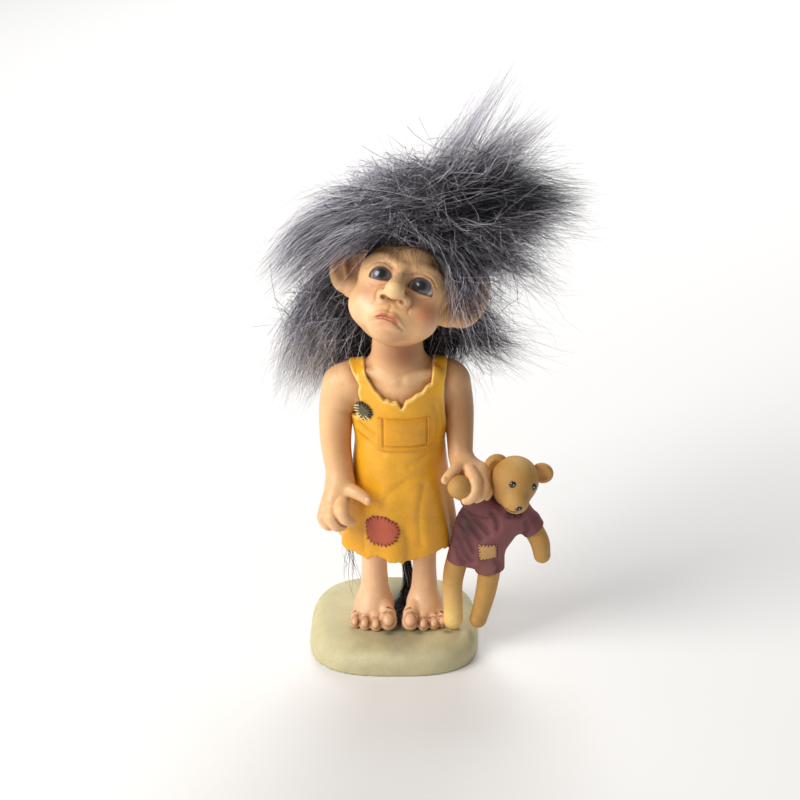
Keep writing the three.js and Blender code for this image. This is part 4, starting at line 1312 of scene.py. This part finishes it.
def bear_patch_field(points):
    edge = outline_distance(points, BEAR_PATCH) - 0.15
    sheet = smooth_cut(bear_shirt_field(points) - BEAR_PATCH_HEIGHT, -edge, 0.35)
    return np.maximum(sheet, points[:, 1] + 6)


def make_bear_trim():
    for node, place in BEAR_EYES.items():
        centre = front_of(bear_head_field, [place])[0] + (0, 0.35, 0)
        bead(f"{node}_bead", node, "black", centre, (1.15, 0.8, 1.25), "0d0b0a")
    nose = front_of(bear_head_field, [BEAR_NOSE])[0]
    bead("bear_nose_bead", "bear_nose", "black", nose + (0, 0.2, 0), (1.15, 0.8, 0.85), "100c0a")
    bear_piece("bear_bow_knot", "bear_bow", "plum", bear_bow_field, ((31, -18, 48), (40, -13, 55)),
               "4c2228", "1f0c10", MATTE_PAINT)
    bear_piece("bear_patch_relief", "bear_patch", "bear", bear_patch_field, ((23, -19, 33), (34, -8, 44)),
               "c2965e", BEAR_SHADE_WASH, BEAR_PAINT)
    patch_top = raised(bear_shirt_field, BEAR_PATCH_HEIGHT)
    stitches_round("bear_patch_stitches", patch_top, BEAR_PATCH, 20, 0.6, 0.13, "2a1014", "plum")


# Plinth

def base_field(points):
    u = np.abs(points[:, 0] / BASE_HALF[0])
    v = np.abs(points[:, 1] / np.where(points[:, 1] < 0, BASE_HALF[1], BASE_BACK))
    round_off = (u**BASE_SQUARENESS + v**BASE_SQUARENESS + TINY) ** (1 / BASE_SQUARENESS)
    side = (round_off - 1) * 25
    dimple = 0.18 * np.sin(0.33 * points[:, 0] + 1) * np.sin(0.29 * points[:, 1])
    top = points[:, 2] - BASE_HEIGHT - 0.1 + np.clip(dimple, 0, 1)
    body = -smooth_join(-side, -top, 6.5)
    return np.maximum(body, -points[:, 2])


# Dabs of paint on the plinth: a painted highlight on its front rim, painted shadow under the tail, and crumbs
# round the feet.
BASE_CRUMBS = ((-1.5, -12.2), (7.8, -12.0), (16.8, -11.4), (2.0, -4.0))
BASE_LIGHT_SHADE_AND_CRUMB_DABS = [
    # A painted highlight along the front rim.
    ("f0e6bc", 0.55, (0, -23.6, 6.4), (20, 2.2, 2.4)),
    # A painted shadow of the tail, between and behind the feet.
    ("3f3c37", 0.9, (1.8, 3.0, 8), (6.0, 20, 6)),
    *[("2f2c26", 0.7, (x, y, 8), (1.6, 0.9, 2)) for x, y in BASE_CRUMBS],
]


def base_colours(vertices, _):
    """Stone paint, with painted shadow round the feet."""
    feet = [spot(vertices, (leg["foot"], -3, 8), (9.5, 8.5, 6)) for leg in LEGS.values()]
    # Painted shadow round the feet.
    colours = tinted(coated(vertices, "cfc69c"), "8d8a6c", 0.35 * np.max(feet, axis=0))
    return dabbed(colours, vertices, BASE_LIGHT_SHADE_AND_CRUMB_DABS)


def make_base():
    box = ((-29, -27, -1.2), (29, 29, 10))
    casting("base_casting", "stone", "base", base_field, box, BASE_CELL, STONE_PAINT, base_colours)


# Fur

# The fur's tones from dark to pale with their shares, and after them the beige of the underfur.
FUR_TONES = ["09090e", "1a1a22", "34333d", "605e6a", "9c99a5", "dcd9e2", "a3998a"]
FUR_SHARES = [0.4, 0.25, 0.11, 0.08, 0.09, 0.07]
FUR_CLASSES = len(FUR_TONES)
UNDERFUR_TONE = len(FUR_SHARES)


FUR_ROUGHNESS = 0.36
FUR_SPECULAR = 0.18
# How bright the fibres are at the root and at the tip; the paler tips are painted light on the fur's ends.
FUR_BRIGHTNESS = (0.28, 2.0)


def fur_material():
    """Fibre colour from the strand's own map: its tone across, and root to tip upwards."""
    material, links, inputs = new_material("fur_fibre")
    inputs["Roughness"].default_value = FUR_ROUGHNESS
    inputs["Specular IOR Level"].default_value = FUR_SPECULAR
    place = add_node(material, "ShaderNodeUVMap", uv_map="OFBake")
    split = add_node(material, "ShaderNodeSeparateXYZ")
    links.new(place.outputs["UV"], split.inputs["Vector"])
    ramp = add_node(material, "ShaderNodeValToRGB")
    ramp.color_ramp.interpolation = "CONSTANT"
    elements = ramp.color_ramp.elements
    while len(elements) < FUR_CLASSES:
        elements.new(0.5)
    for k, tone in enumerate(FUR_TONES):
        elements[k].position = k / FUR_CLASSES
        elements[k].color = (*srgb(tone), 1)
    links.new(split.outputs["X"], ramp.inputs["Fac"])
    tip = mapped(material, split.outputs["Y"], *FUR_BRIGHTNESS, 0.05, 1.0)
    links.new(scaled(material, ramp.outputs["Color"], tip), inputs["Base Color"])
    return material


FUR = fur_material()
# Where a fibre's three corners stand round it, and where its three sides lie across its tone's strip.
FIBRE_CORNERS = (0, 2.094, 4.189)
FIBRE_MAP_START = 0.15
FIBRE_MAP_STEP = 0.2
# A direction that no strand runs along, and a fibre's thickness at its tip as a share of its root's.
FIBRE_ASIDE = (0.31, 0.53, 0.79)
FIBRE_TIP = 0.15


def strand_piece(name, paths, thickness, tones, slot, *nodes):
    """Fine three-sided fibres along the paths, tapering to their tips."""
    count, rows = paths.shape[:2]
    along = np.gradient(paths, axis=1)
    along /= np.linalg.norm(along, axis=2, keepdims=True)
    side = np.cross(along, np.array(FIBRE_ASIDE))
    side /= np.linalg.norm(side, axis=2, keepdims=True)
    up = np.cross(along, side)
    taper = np.linspace(1, 0, rows) ** 0.6 * (1 - FIBRE_TIP) + FIBRE_TIP
    radius = thickness[:, None, None] * taper[None, :, None]
    rings = [paths + radius * (math.cos(a) * side + math.sin(a) * up) for a in FIBRE_CORNERS]
    vertices = np.stack(rings, axis=2).reshape(-1, 3)
    index = np.arange(len(vertices)).reshape(count, rows, 3)
    following = np.roll(index, -1, axis=2)
    sides = [index[:, :-1], following[:, :-1], following[:, 1:], index[:, 1:]]
    piece = new_piece(name, vertices, np.stack(sides, axis=-1).reshape(-1, 4), FUR)
    layer = piece.data.uv_layers.new(name="OFBake")
    low = np.broadcast_to(np.arange(rows - 1)[None, :, None] / (rows - 1), (count, rows - 1, 3))
    high = low + 1 / (rows - 1)
    across = tones[:, None, None] + FIBRE_MAP_START + FIBRE_MAP_STEP * np.arange(3)[None, None]
    left = np.broadcast_to(across / FUR_CLASSES, low.shape)
    right = left + FIBRE_MAP_STEP / FUR_CLASSES
    corners = [(left, low), (right, low), (right, high), (left, high)]
    uv = np.stack([np.stack(corner, axis=-1) for corner in corners], axis=3)
    layer.data.foreach_set("uv", uv.astype(np.float32).ravel())
    return show(piece, slot, *nodes)


# Locks of the wig: stations (x, y, z, radius), how many strands, how loosely they lie, and how much paler.
# Paler locks on top are painted light; darker ones low over the forehead and at the nape are painted shade.
LOCKS = [
    ([(0, 0, 141, 6), (13, 1, 152, 6), (22, 1, 165, 4.5), (31.5, 1, 183, 2)], 620, 0.7, 2.7),
    ([(6, 0, 140, 7), (22, 1, 151, 7), (33, 1, 160, 5), (43, 1, 168, 2.5)], 800, 0.8, 2.4),
    ([(-8, -4, 139, 5), (7, -6, 142, 6.5), (22, -5, 146, 8), (35, -2, 147.5, 6.5), (50, 1, 145.5, 2.5)],
     4600, 0.75, -1.4),
    ([(10, -5, 138, 5.5), (25, -3, 140, 6.5), (37, 1, 138, 6), (46, 2, 134, 4)], 1800, 1.0, 0.7),
    ([(14, -3, 134, 5), (27, 0, 130, 6), (37, 2, 126, 4.5), (44, 3, 121, 2.5)], 700, 1.1, 1.2),
    ([(13, -5, 143, 4), (2, -6.5, 144, 5.5), (-10, -5, 142, 6.5), (-22, -3, 135, 6.5),
      (-33, 0, 122.5, 3.5)],
     4500, 0.65, 1.1),
    ([(4, -2, 142, 7), (-6, 0, 146, 6.5), (-12, 2, 147, 3.5)], 1000, 0.8, 2.7),
    ([(4, 2, 142, 9), (0, 4, 148.5, 8), (-5, 5, 155, 4)], 1000, 0.85, 3.6),
    ([(-9, 13, 122, 6), (-12, 14, 108, 7), (-16, 14, 96, 5.5), (-20, 14, 86, 3)], 1500, 0.7, -1.3),
    ([(-12, 15, 120, 7), (-19, 16, 107, 8), (-25, 16, 92, 7), (-29, 16, 80, 4.5)], 2000, 0.85, 1.6),
    ([(13, 14, 118, 7), (20, 15, 104, 7), (28, 15, 96, 5), (35, 15, 91, 3)], 1500, 0.85, -0.3),
    ([(2, 9, 136, 12), (4, 19, 137, 11), (6, 25, 127, 9.5), (5, 26, 111, 8)], 3200, 0.75, 0.8),
    ([(2, 14, 126, 13), (2, 20, 108, 12), (2, 21, 92, 9), (2, 20, 80, 5)], 2900, 0.75, 0.2),
    ([(10, -8, 138.5, 2.6), (18, -10.5, 129.5, 2.8), (22.5, -10.5, 118, 3.2), (26, -8, 107, 3)],
     560, 0.85, 0.3),
    ([(-4, 10, 118, 6), (-9, 12.5, 102, 7), (-10, 13.5, 83, 5)], 2600, 0.6, -4.0),
    ([(8, 10, 118, 6), (12, 12, 102, 6.5), (12.5, 13.5, 83, 5)], 3200, 0.6, -4.0),
]
UNDERFUR = [(-15, 15, 108, 8), (-22, 15.5, 94, 8.5), (-28, 15.5, 81, 6)]
UNDERFUR_STRANDS = 700
UNDERFUR_LOOSE = 0.9
# How far the strands may reach, and the face's window in the head's frame that they leave clear.
HAIR_REACH = ((-47, -25, 60), (64, 45, 193))
FACE_WINDOW = ((-10.5, -40, -18), (10.5, -6, 10.3))
# Strands that cross the locks: how many, how much paler and thicker, how far off, how long, and how bent.
# The crossing strands' paleness paints fibres that catch the light, over the fur's own pale fibres.
TANGLE_STRANDS = 10500
TANGLE_PALER = 3.1
TANGLE_THICKER = 1.6
TANGLE_LIFT = 3.5
TANGLE_LENGTH = (5, 13)
TANGLE_BEND = 0.5
TANGLE_KINK = 1.4
FOREHEAD_WISPS = 26
# The share of each lock's strands that stray, and how much looser and paler they are.
STRAY_SHARE = 0.25
STRAY_LOOSER = 2.0
STRAY_PALER = 1.6
STRAND_ROWS = 9
STRAND_THICKNESS = (0.03, 0.07)
# How many strands a clump has, how far its tips draw together, and how far it bends away.
CLUMP_SIZE = 12
TIP_GATHER = 0.6
CLUMP_BEND = 3.4
# How wide a clump is in its lock, and where along the lock clumps end.
CLUMP_SPREAD = 0.24
CLUMP_ENDS = (0.5, 1.0)
# Where along the lock strands begin, how unevenly they end, the limits, and the way past its end for a share.
STRAND_BEGINS = (-0.04, 0.22)
STRAND_END_SPREAD = 0.12
STRAND_END_LIMITS = (0.3, 1.08)
OVERRUN = 60
# How a lock fans out: the share of its radius that it starts with, and what it gains along its length.
FAN_START = 0.75
FAN_GAIN = 0.55
SCALP_STRANDS = 5000
SCALP_PALER = -0.5
SCALP_LENGTH = (9, 18)
SCALP_LOOSE = 0.6
HAIR_PIECES = 14
HAIR_SEED = 7
# A strand's waves: size, and the least and most radians along it; and how far its tip leans.
STRAND_WAVES = ((1.7, 2, 5), (0.8, 6, 13))
STRAND_LEAN = 2.0


def frizzed(rng, path, loose):
    """Strands with waves and a lean of their own."""
    count = len(path)
    row = np.linspace(0, 1, STRAND_ROWS)[None, :, None]
    for size, slow, fast in STRAND_WAVES:
        curl = rng.normal(0, 1, (count, 1, 3))
        wave = np.sin(row * rng.uniform(slow, fast, (count, 1, 1)) + rng.uniform(0, 6.3, (count, 1, 1)))
        path = path + curl * size * loose * np.minimum(1, 2 * row) * wave
    lean = rng.normal(0, STRAND_LEAN, (count, 1, 3)) * loose
    return path + lean * row**1.4


def lock_paths(rng, stations, count, loose):
    """Strands gathered in clumps that fan out along a lock, with uneven ends."""
    curve = spline(stations, 8)
    clumps = max(1, count // CLUMP_SIZE)
    clump = rng.integers(0, clumps, count)
    angle = rng.uniform(0, 2 * math.pi, clumps)
    reach = np.sqrt(rng.uniform(0, 1, clumps))
    clump_place = np.column_stack([np.cos(angle), np.sin(angle)]) * reach[:, None]
    clump_end = rng.uniform(*CLUMP_ENDS, clumps)
    clump_bend = rng.normal(0, 1, (clumps, 3))
    gather = np.linspace(1, 1 - TIP_GATHER, STRAND_ROWS)[None, :, None]
    place = clump_place[clump][:, None] + rng.normal(0, CLUMP_SPREAD, (count, 1, 2)) * gather
    end = np.clip(clump_end[clump] + rng.normal(0, STRAND_END_SPREAD, count), *STRAND_END_LIMITS)
    begin = rng.uniform(*STRAND_BEGINS, count)
    share = begin[:, None] + (end - begin)[:, None] * np.linspace(0, 1, STRAND_ROWS)
    t = np.clip(share, 0, 1) * (len(curve) - 1)
    low = np.minimum(t.astype(int), len(curve) - 2)
    mix = (t - low)[..., None]
    at = curve[low] * (1 - mix) + curve[low + 1] * mix
    along = curve[low + 1, :3] - curve[low, :3]
    along /= np.linalg.norm(along, axis=2, keepdims=True)
    at[..., :3] += along * ((share - np.clip(share, 0, 1)) * OVERRUN)[..., None]
    side = np.cross(along, (0.0, 1.0, 0.0))
    side /= np.linalg.norm(side, axis=2, keepdims=True)
    up = np.cross(along, side)
    spread = (at[..., 3] * (FAN_START + FAN_GAIN * share))[..., None]
    path = at[..., :3] + spread * (place[..., :1] * side + place[..., 1:] * up)
    row = np.linspace(0, 1, STRAND_ROWS)[None, :, None]
    path = path + clump_bend[clump][:, None] * (CLUMP_BEND * loose * row**1.6)
    return frizzed(rng, path, loose)


# The hairline on the head: how high it runs at each depth from front to back.
HAIRLINE = [(-12, 13), (-9, 12.4), (-4.5, 9), (6, 8), (14, -4), (19, -6)]
# The fur parts here, and is swept to the right and to the left of it.
PARTING = 2.5
PARTING_WIDTH = 9
PARTING_SPREAD = 0.35
SWEEP_RIGHT = np.array([-1.0, 0.0, 0.3])
SWEEP_LEFT = np.array([0.8, 0.0, 0.5])


def scalp_paths(rng, count):
    """Short tangled fur rooted all over the scalp above the hairline."""
    out = rng.normal(size=(6 * count, 3))
    out /= np.linalg.norm(out, axis=1, keepdims=True)
    local = SKULL[0] + out * SKULL[1]
    hairy = local[:, 2] > np.interp(local[:, 1], *np.array(HAIRLINE).T)
    root = out_of_head(local[hairy][:count])
    out = out[hairy][:count] @ HEAD_TURN.T
    count = len(root)
    side = (root[:, 0] - PARTING) / PARTING_WIDTH + rng.normal(0, PARTING_SPREAD, count)
    to_left = np.clip(0.5 + side, 0, 1)[:, None]
    sweep = (1 - to_left) * SWEEP_RIGHT + to_left * SWEEP_LEFT
    length = rng.uniform(*SCALP_LENGTH, count)[:, None]
    lift = 0.75 * out + 0.3 * rng.normal(size=(count, 3))
    lean = 0.3 * out + sweep + 0.45 * rng.normal(size=(count, 3))
    row = np.linspace(0, 1, STRAND_ROWS)[None, :, None]
    middle = (root + 0.4 * length * lift)[:, None]
    tip = middle + (0.6 * length * lean)[:, None]
    path = (1 - row) ** 2 * root[:, None] + 2 * row * (1 - row) * middle + row**2 * tip
    return frizzed(rng, path, SCALP_LOOSE)


def tangle_paths(rng, paths, count):
    """Strands that cross the others: each sets off along one, on a way and a bend of its own."""
    pick = rng.integers(0, len(paths), count)
    row = rng.integers(1, STRAND_ROWS // 2 + 1, count)
    way = paths[pick, row + 1] - paths[pick, row - 1]
    way /= np.linalg.norm(way, axis=1, keepdims=True)
    way += rng.normal(0, 1.0, (count, 3))
    out = paths[pick, row] - HEAD_CENTRE
    out /= np.linalg.norm(out, axis=1, keepdims=True)
    way -= 0.8 * np.sum(way * out, axis=1, keepdims=True) * out
    length = rng.uniform(*TANGLE_LENGTH, (count, 1, 1))
    bend = rng.normal(0, TANGLE_BEND, (count, 1, 3))
    kink = rng.normal(0, TANGLE_KINK, (count, 1, 3))
    step = np.linspace(-0.5, 0.5, STRAND_ROWS)[None, :, None]
    start = paths[pick, row] + TANGLE_LIFT * rng.uniform(0, 1, (count, 1)) * out
    return start[:, None] + length * (way[:, None] * step + bend * step**2 + kink * step**3)


def wisp_paths(rng, count):
    """Single hairs that fall from the hairline and lie on the forehead."""
    row = np.linspace(0, 1, STRAND_ROWS)
    fall = rng.normal(1.5, 2.0, (count, 1))
    bend = rng.normal(0, 4, (count, 1))
    x = np.clip(rng.uniform(-7, 8, (count, 1)) + fall * row + bend * row * (1 - row), -9.5, 9.5)
    z = rng.uniform(11.0, 13.0, (count, 1)) - rng.uniform(3, 8, (count, 1)) * row
    skin = front_of(face_shape, np.column_stack([x.ravel(), z.ravel()]))
    off = rng.uniform(0.2, 0.9, (count, 1)) * np.sin(math.pi * (0.15 + 0.8 * row))
    lifted = skin - np.outer(off.ravel(), (0, 1, 0))
    return out_of_head(lifted).reshape(count, STRAND_ROWS, 3)


def kept_clear(paths):
    """Which strands stay within the wig's reach and off the face."""
    low, high = HAIR_REACH
    within = np.all((paths > low) & (paths < high), axis=(1, 2))
    low, high = FACE_WINDOW
    local = into_head(paths.reshape(-1, 3)).reshape(paths.shape)
    over_face = np.all((local > low) & (local < high), axis=2).any(axis=1)
    return within & ~over_face


def fur_tones(rng, count, paler):
    """A tone for each strand, drawn from the fur's mix and moved towards the pale end."""
    mix = rng.choice(len(FUR_SHARES), count, p=FUR_SHARES) + paler + rng.uniform(-0.5, 0.5, count)
    return np.clip(np.round(mix), 0, len(FUR_SHARES) - 1).astype(int)


def make_hair():
    rng = np.random.default_rng(HAIR_SEED)
    paths, tones = [], []
    for stations, count, loose, paler in LOCKS:
        stray = round(count * STRAY_SHARE)
        paths.append(lock_paths(rng, stations, count - stray, loose))
        paths.append(lock_paths(rng, stations, stray, STRAY_LOOSER * loose))
        tones.append(fur_tones(rng, count - stray, paler))
        tones.append(fur_tones(rng, stray, paler + STRAY_PALER))
    paths.append(lock_paths(rng, UNDERFUR, UNDERFUR_STRANDS, UNDERFUR_LOOSE))
    tones.append(np.full(UNDERFUR_STRANDS, UNDERFUR_TONE))
    paths.append(scalp_paths(rng, SCALP_STRANDS))
    tones.append(fur_tones(rng, len(paths[-1]), SCALP_PALER))
    lain = sum(len(lock) for lock in paths)
    paths.append(tangle_paths(rng, np.concatenate(paths), TANGLE_STRANDS))
    tones.append(fur_tones(rng, TANGLE_STRANDS, TANGLE_PALER))
    clear = kept_clear(np.concatenate(paths))
    paths.append(wisp_paths(rng, FOREHEAD_WISPS))
    tones.append(fur_tones(rng, FOREHEAD_WISPS, 0))
    paths, tones = np.concatenate(paths), np.concatenate(tones)
    order = rng.permutation(np.flatnonzero(np.r_[clear, np.ones(FOREHEAD_WISPS, bool)]))
    thickness = rng.uniform(*STRAND_THICKNESS, len(paths))
    thickness[lain:-FOREHEAD_WISPS] *= TANGLE_THICKER
    for k in range(HAIR_PIECES):
        part = order[k::HAIR_PIECES]
        strand_piece(f"hair_strands_{k + 1}", paths[part], thickness[part], tones[part], "fur", "hair")
    make_undercoat()


# The undercoat fills the inner part of each lock: its share of the length, and its radius at root and end.
UNDERCOAT_SHARE = 0.5
UNDERCOAT_RADIUS = (0.6, 0.2)
UNDERCOAT_GAP = 0.5


def undercoat_field(points):
    result = np.full(len(points), FAR)
    for stations, *_ in LOCKS:
        core = spline(stations)
        core = core[:int(len(core) * UNDERCOAT_SHARE)]
        core[:, 3] *= np.linspace(*UNDERCOAT_RADIUS, len(core))
        result = np.minimum(result, chain(points, core))
    return np.maximum(result, -(skin_field(points) - UNDERCOAT_GAP))


def make_undercoat():
    """The dense felted fur at the roots, under the long strands."""
    vertices, quads = surface_net(undercoat_field, (-40, -24, 70), (60, 44, 186), UNDERCOAT_CELL)
    piece = new_piece("hair_undercoat", vertices, quads, STONE_PAINT, coated(vertices, "131217"))
    show(piece, "fur", "hair")


TAIL = [
    (3.0, 9.6, 36, 0.9), (3.6, 9.2, 22, 1.0), (4.7, 8.2, 15, 1.2),
    (3.6, 5.2, 10.2, 1.8), (1.6, 1.0, 9.3, 2.0), (1.4, -7.0, 9.0, 1.2),
]
TAIL_WISPS = [(-14.0, 8.0, 36, 1.0), (-14.6, 6.4, 26, 1.0), (-13.2, 5.4, 16, 0.9), (-12.4, 4.6, 9.4, 0.6)]


# How many strands each has and how loosely they lie, and how thick and how much paler the strands are.
TAIL_STRANDS = 900
TAIL_LOOSE = 0.16
TAIL_WISP_STRANDS = 16
TAIL_WISP_LOOSE = 0.7
TAIL_THICKNESS = (0.06, 0.11)
TAIL_PALER = -0.5
TAIL_GAP = 0.3
TAIL_SEED = 11


def make_tail():
    rng = np.random.default_rng(TAIL_SEED)
    lock = lock_paths(rng, TAIL, TAIL_STRANDS, TAIL_LOOSE)
    wisps = lock_paths(rng, TAIL_WISPS, TAIL_WISP_STRANDS, TAIL_WISP_LOOSE)
    paths = np.concatenate([lock, wisps])
    paths[..., 2] = np.maximum(paths[..., 2], BASE_HEIGHT + TAIL_GAP)
    thickness = rng.uniform(*TAIL_THICKNESS, len(paths))
    tones = fur_tones(rng, len(paths), TAIL_PALER)
    strand_piece("tail_strands", paths, thickness, tones, "fur", "tail")


# Inner pieces that keep their solid shape

def bare_material(name, colour, grain_mm, roughness, metallic=0):
    """An unpainted material whose roughness varies between two values."""
    material, links, inputs = new_material(name)
    inputs["Base Color"].default_value = (*colour, 1)
    inputs["Metallic"].default_value = metallic
    uneven = mapped(material, noise_node(material, grain_mm).outputs["Fac"], *roughness)
    links.new(uneven, inputs["Roughness"])
    return material


def make_inner():
    steel = bare_material("pin_steel", (0.5, 0.5, 0.51), 0.4, (0.25, 0.45), 1)
    cloth = bare_material("wig_cloth", srgb("1c1a20"), 0.3, (0.8, 0.95))
    for name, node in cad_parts.items():
        finish = cloth if name == "wig_backing" else steel if name.endswith("_pin") else None
        if finish is not None:
            node.data.materials.clear()
            node.data.materials.append(finish)


# Floor, light and camera

FLOOR_HALF = 4000
FLOOR_HEIGHT = -0.05
FLOOR_GREY = 0.92
FLOOR_ROUGHNESS = 0.9
SKY_COLOUR = (1, 0.99, 0.97, 1)
SKY_STRENGTH = 0.28
# The lights: place, power, size, colour and aim.
LIGHTS = {
    "key": ((-640, -330, 500), 6.9, 520, (1, 0.97, 0.92), CAMERA_TARGET),
    "backdrop": ((120, 850, 900), 8.5, 700, (1, 1, 1), (60, 450, 0)),
}


def make_stage():
    floor, _, inputs = new_material("floor_card")
    inputs["Base Color"].default_value = (FLOOR_GREY, FLOOR_GREY, FLOOR_GREY, 1)
    inputs["Roughness"].default_value = FLOOR_ROUGHNESS
    corners = np.array([(-1, -1, 0), (1, -1, 0), (1, 1, 0), (-1, 1, 0)]) * FLOOR_HALF + (0, 0, FLOOR_HEIGHT)
    new_piece("floor", corners, np.array([[0, 1, 2, 3]]), floor)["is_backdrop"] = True
    world = bpy.data.worlds.new("studio")
    world.use_nodes = True
    sky = world.node_tree.nodes["Background"].inputs
    sky["Color"].default_value = SKY_COLOUR
    sky["Strength"].default_value = SKY_STRENGTH
    bpy.context.scene.world = world
    bpy.context.scene.view_settings.view_transform = "Standard"
    for name, light in LIGHTS.items():
        add_light(name, *light)


def add_light(name, place, watts, size, colour, aim):
    lamp = bpy.data.lights.new(name, "AREA")
    lamp.energy = watts
    lamp.size = size * MM
    lamp.color = colour
    light = bpy.data.objects.new(name, lamp)
    light.location = np.array(place) * MM
    towards = Vector(aim) - Vector(place)
    light.rotation_euler = towards.to_track_quat("-Z", "Y").to_euler()
    bpy.context.collection.objects.link(light)


def make_camera():
    lens = bpy.data.cameras.new("camera")
    lens.lens = CAMERA_LENS
    lens.sensor_width = CAMERA_SENSOR
    camera = bpy.data.objects.new("camera", lens)
    tilt = math.radians(CAMERA_ELEVATION)
    back = Vector((0, -math.cos(tilt), math.sin(tilt)))
    camera.location = (Vector(CAMERA_TARGET) + CAMERA_DISTANCE * back) * MM
    camera.rotation_euler = back.to_track_quat("Z", "Y").to_euler()
    bpy.context.collection.objects.link(camera)
    bpy.context.scene.camera = camera


def write_sizes():
    boxes = {"cad": cad_box, "visual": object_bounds()}
    plain = {name: [[float(v) for v in corner] for corner in box] for name, box in boxes.items()}


make_camera()
make_stage()
make_inner()
make_skin()
make_eyes()
make_legs()
make_dress()
make_trim()
make_bear()
make_base()
make_hair()
make_tail()
write_sizes()
